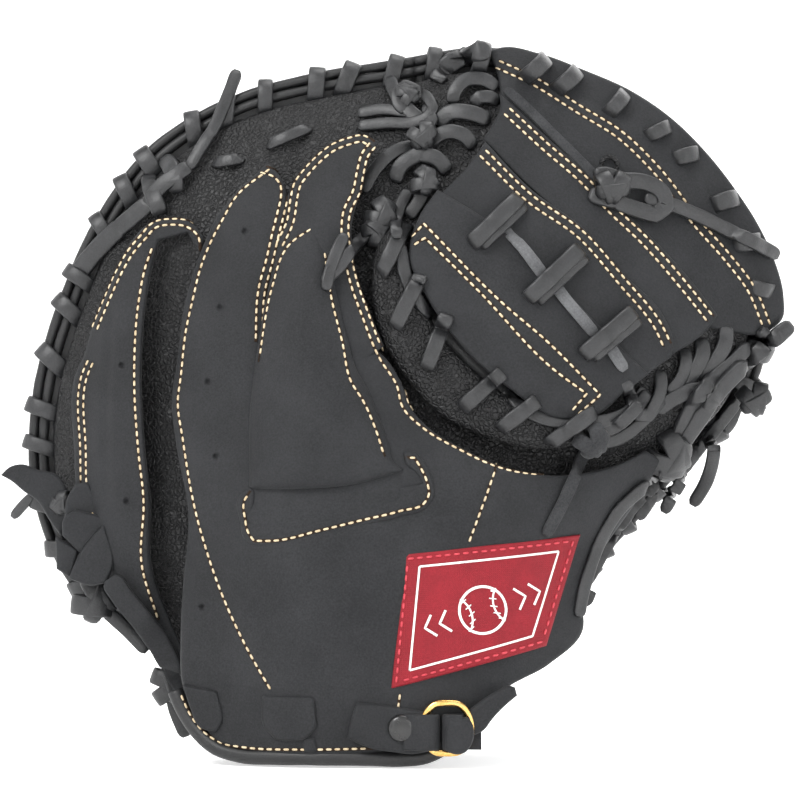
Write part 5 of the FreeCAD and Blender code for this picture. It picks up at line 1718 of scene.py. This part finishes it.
    def _ring(self) -> None:
        """Bend the ring of round wire."""
        corners = [(9.8, 8.6), (9.8, 19.9), (12.6, 22.8), (17.2, 23.45), (21.9, 22.8), (24.7, 19.9),
                   (24.7, 8.6),
                   (21.9, 5.7), (17.2, 5.05), (12.6, 5.7)]
        line = smooth_line(corners, 0.7, closed=True, corner=80)
        points = np.stack([line[:, 0], np.full(len(line), -45.3), line[:, 1]], axis=1)
        ring = Heap()
        ring.add(*sweep(points, np.tile([0.0, -1.0, 0.0], (len(points), 1)), round_section(1.3, 16),
                        closed=True))
        ring.make("strap_ring", self.finish["brass"], Body.RING, ("strap_ring",), "brass")

    def _snap(self) -> None:
        """Turn the snap's cap, socket and stud."""
        parts = (("snap_cap", [(0, -48.1), (2.6, -48.05), (4.0, -47.8), (4.75, -47.2), (5.0, -46.5),
                               (4.6, -46.2), (0, -46.2)],
                  "snap", Body.TAB, "snap"),
                 ("snap_socket", [(0, -43.4), (3.9, -43.4), (4.0, -42.8), (3.6, -42.5), (2.2, -42.5),
                                  (1.9, -43.0),
                                  (0, -43.0)], "brass", Body.TAB, "snap_inside"),
                 ("snap_stud", [(0, -42.2), (1.5, -42.2), (1.6, -41.8), (3.4, -41.7), (3.5, -41.3),
                                (0, -41.3)],
                  "brass", Body.HAND, "snap_inside"))
        for name, outline, look, body, slot in parts:
            count = 40
            line = np.array(outline)
            verts = [(0.5 + r * math.cos(a), y, 14.25 + r * math.sin(a))
                     for r, y in line for a in np.arange(count) / count * 2 * math.pi]
            faces = [(i * count + j, i * count + (j + 1) % count, (i + 1) * count + (j + 1) % count,
                      (i + 1) * count + j)
                     for i in range(len(line) - 1) for j in range(count)]
            piece = new_mesh(name, np.array(verts), faces, self.finish[look], body, (name,))
            sharpen(piece, 40)


class Studio:
    """A pale floor that rises on every side, a soft surround, soft lights and the camera."""

    AIM = Vector((0.0, 0.0, 134.9))
    LIGHTS = (("key", (-1.1, -1.3, 1.7), 0.8, 34.0), ("fill", (1.5, -1.5, 0.4), 1.4, 8.0),
              ("top", (0.3, 0.1, 1.7), 0.9, 14.0), ("rear", (0.5, 1.7, 1.0), 1.4, 10.0))

    def _sweep(self) -> bpy.types.Object:
        """Make the floor: a wide dish that rises on every side."""
        profile = [(0.0, 0.0), (6.0, 0.0)]
        profile += [(6.0 + 3.0 * math.sin(a), 3.0 - 3.0 * math.cos(a)) for a in np.radians(np.arange(9, 91,
                                                                                                     9))]
        profile.append((9.0, 9.0))
        turns, count = np.radians(np.arange(0, 360, 6)), 60
        verts = [(r * math.cos(t), r * math.sin(t), z) for r, z in profile for t in turns]
        faces = [(i * count + j, i * count + (j + 1) % count, (i + 1) * count + (j + 1) % count,
                  (i + 1) * count + j)
                 for i in range(len(profile) - 1) for j in range(count)]
        mesh = bpy.data.meshes.new("floor")
        mesh.from_pydata(verts, [], faces)
        mesh.shade_smooth()
        floor = bpy.data.objects.new("floor", mesh)
        floor.location.z = -0.001
        pale = bpy.data.materials.new("pale_floor")
        pale.use_nodes = True
        surface = pale.node_tree.nodes["Principled BSDF"]
        surface.inputs["Base Color"].default_value = (0.92, 0.92, 0.92, 1)
        surface.inputs["Roughness"].default_value = 0.9
        surface.inputs["Specular IOR Level"].default_value = 0.1
        surface.inputs["Emission Color"].default_value = (1, 1, 1, 1)
        surface.inputs["Emission Strength"].default_value = 0.5
        mesh.materials.append(pale)
        return floor

    def build(self) -> None:
        """Set up the studio."""
        scene = bpy.context.scene
        world = bpy.data.worlds.new("white")
        world.use_nodes = True
        world.node_tree.nodes["Background"].inputs["Color"].default_value = (1, 1, 1, 1)
        world.node_tree.nodes["Background"].inputs["Strength"].default_value = 0.55
        scene.world = world
        scene.view_settings.view_transform = "Standard"
        things = [self._sweep()]
        aim = (self.AIM + Vector(SHIFT)) * MM
        for name, place, size, power in self.LIGHTS:
            light = bpy.data.lights.new(name, "AREA")
            light.size, light.energy = size, power
            lamp = bpy.data.objects.new(name, light)
            lamp.location = place
            lamp.rotation_euler = (aim - Vector(place)).to_track_quat("-Z", "Y").to_euler()
            things.append(lamp)
        camera = bpy.data.objects.new("camera", bpy.data.cameras.new("camera"))
        camera.location = (aim.x, -2.0, aim.z)
        camera.rotation_euler = (math.radians(90), 0, 0)
        camera.data.lens = 236.8
        things.append(camera)
        for thing in things:
            scene.collection.objects.link(thing)
        scene.camera = camera


def main() -> None:
    """Build the mitt, piece after piece."""
    logging.basicConfig(level=logging.INFO, format="%(name)s: %(message)s")
    shade = Shade()
    finish = {key: value.build(shade) for key, value in FINISHES.items()}
    # The painted thread shadow under the stitches.
    THREAD_SHADOW_PAINT.append(finish["thread_shadow_paint"])
    palm = Palm(finish["palm"])
    palm.build()
    PocketWeb(finish, palm).build()
    PalmTies(finish, palm).build()
    Lining(finish["lining"]).build()
    Backs(finish).build()
    Hood(finish["nubuck"]).build()
    Label(finish).build()
    Seams(finish["thread"]).build()
    Rim(finish).build()
    PinkyStrap(finish).build()
    Wrist(finish).build()
    Laces(finish).build()
    Studio().build()


if __name__ == "__main__":
    main()
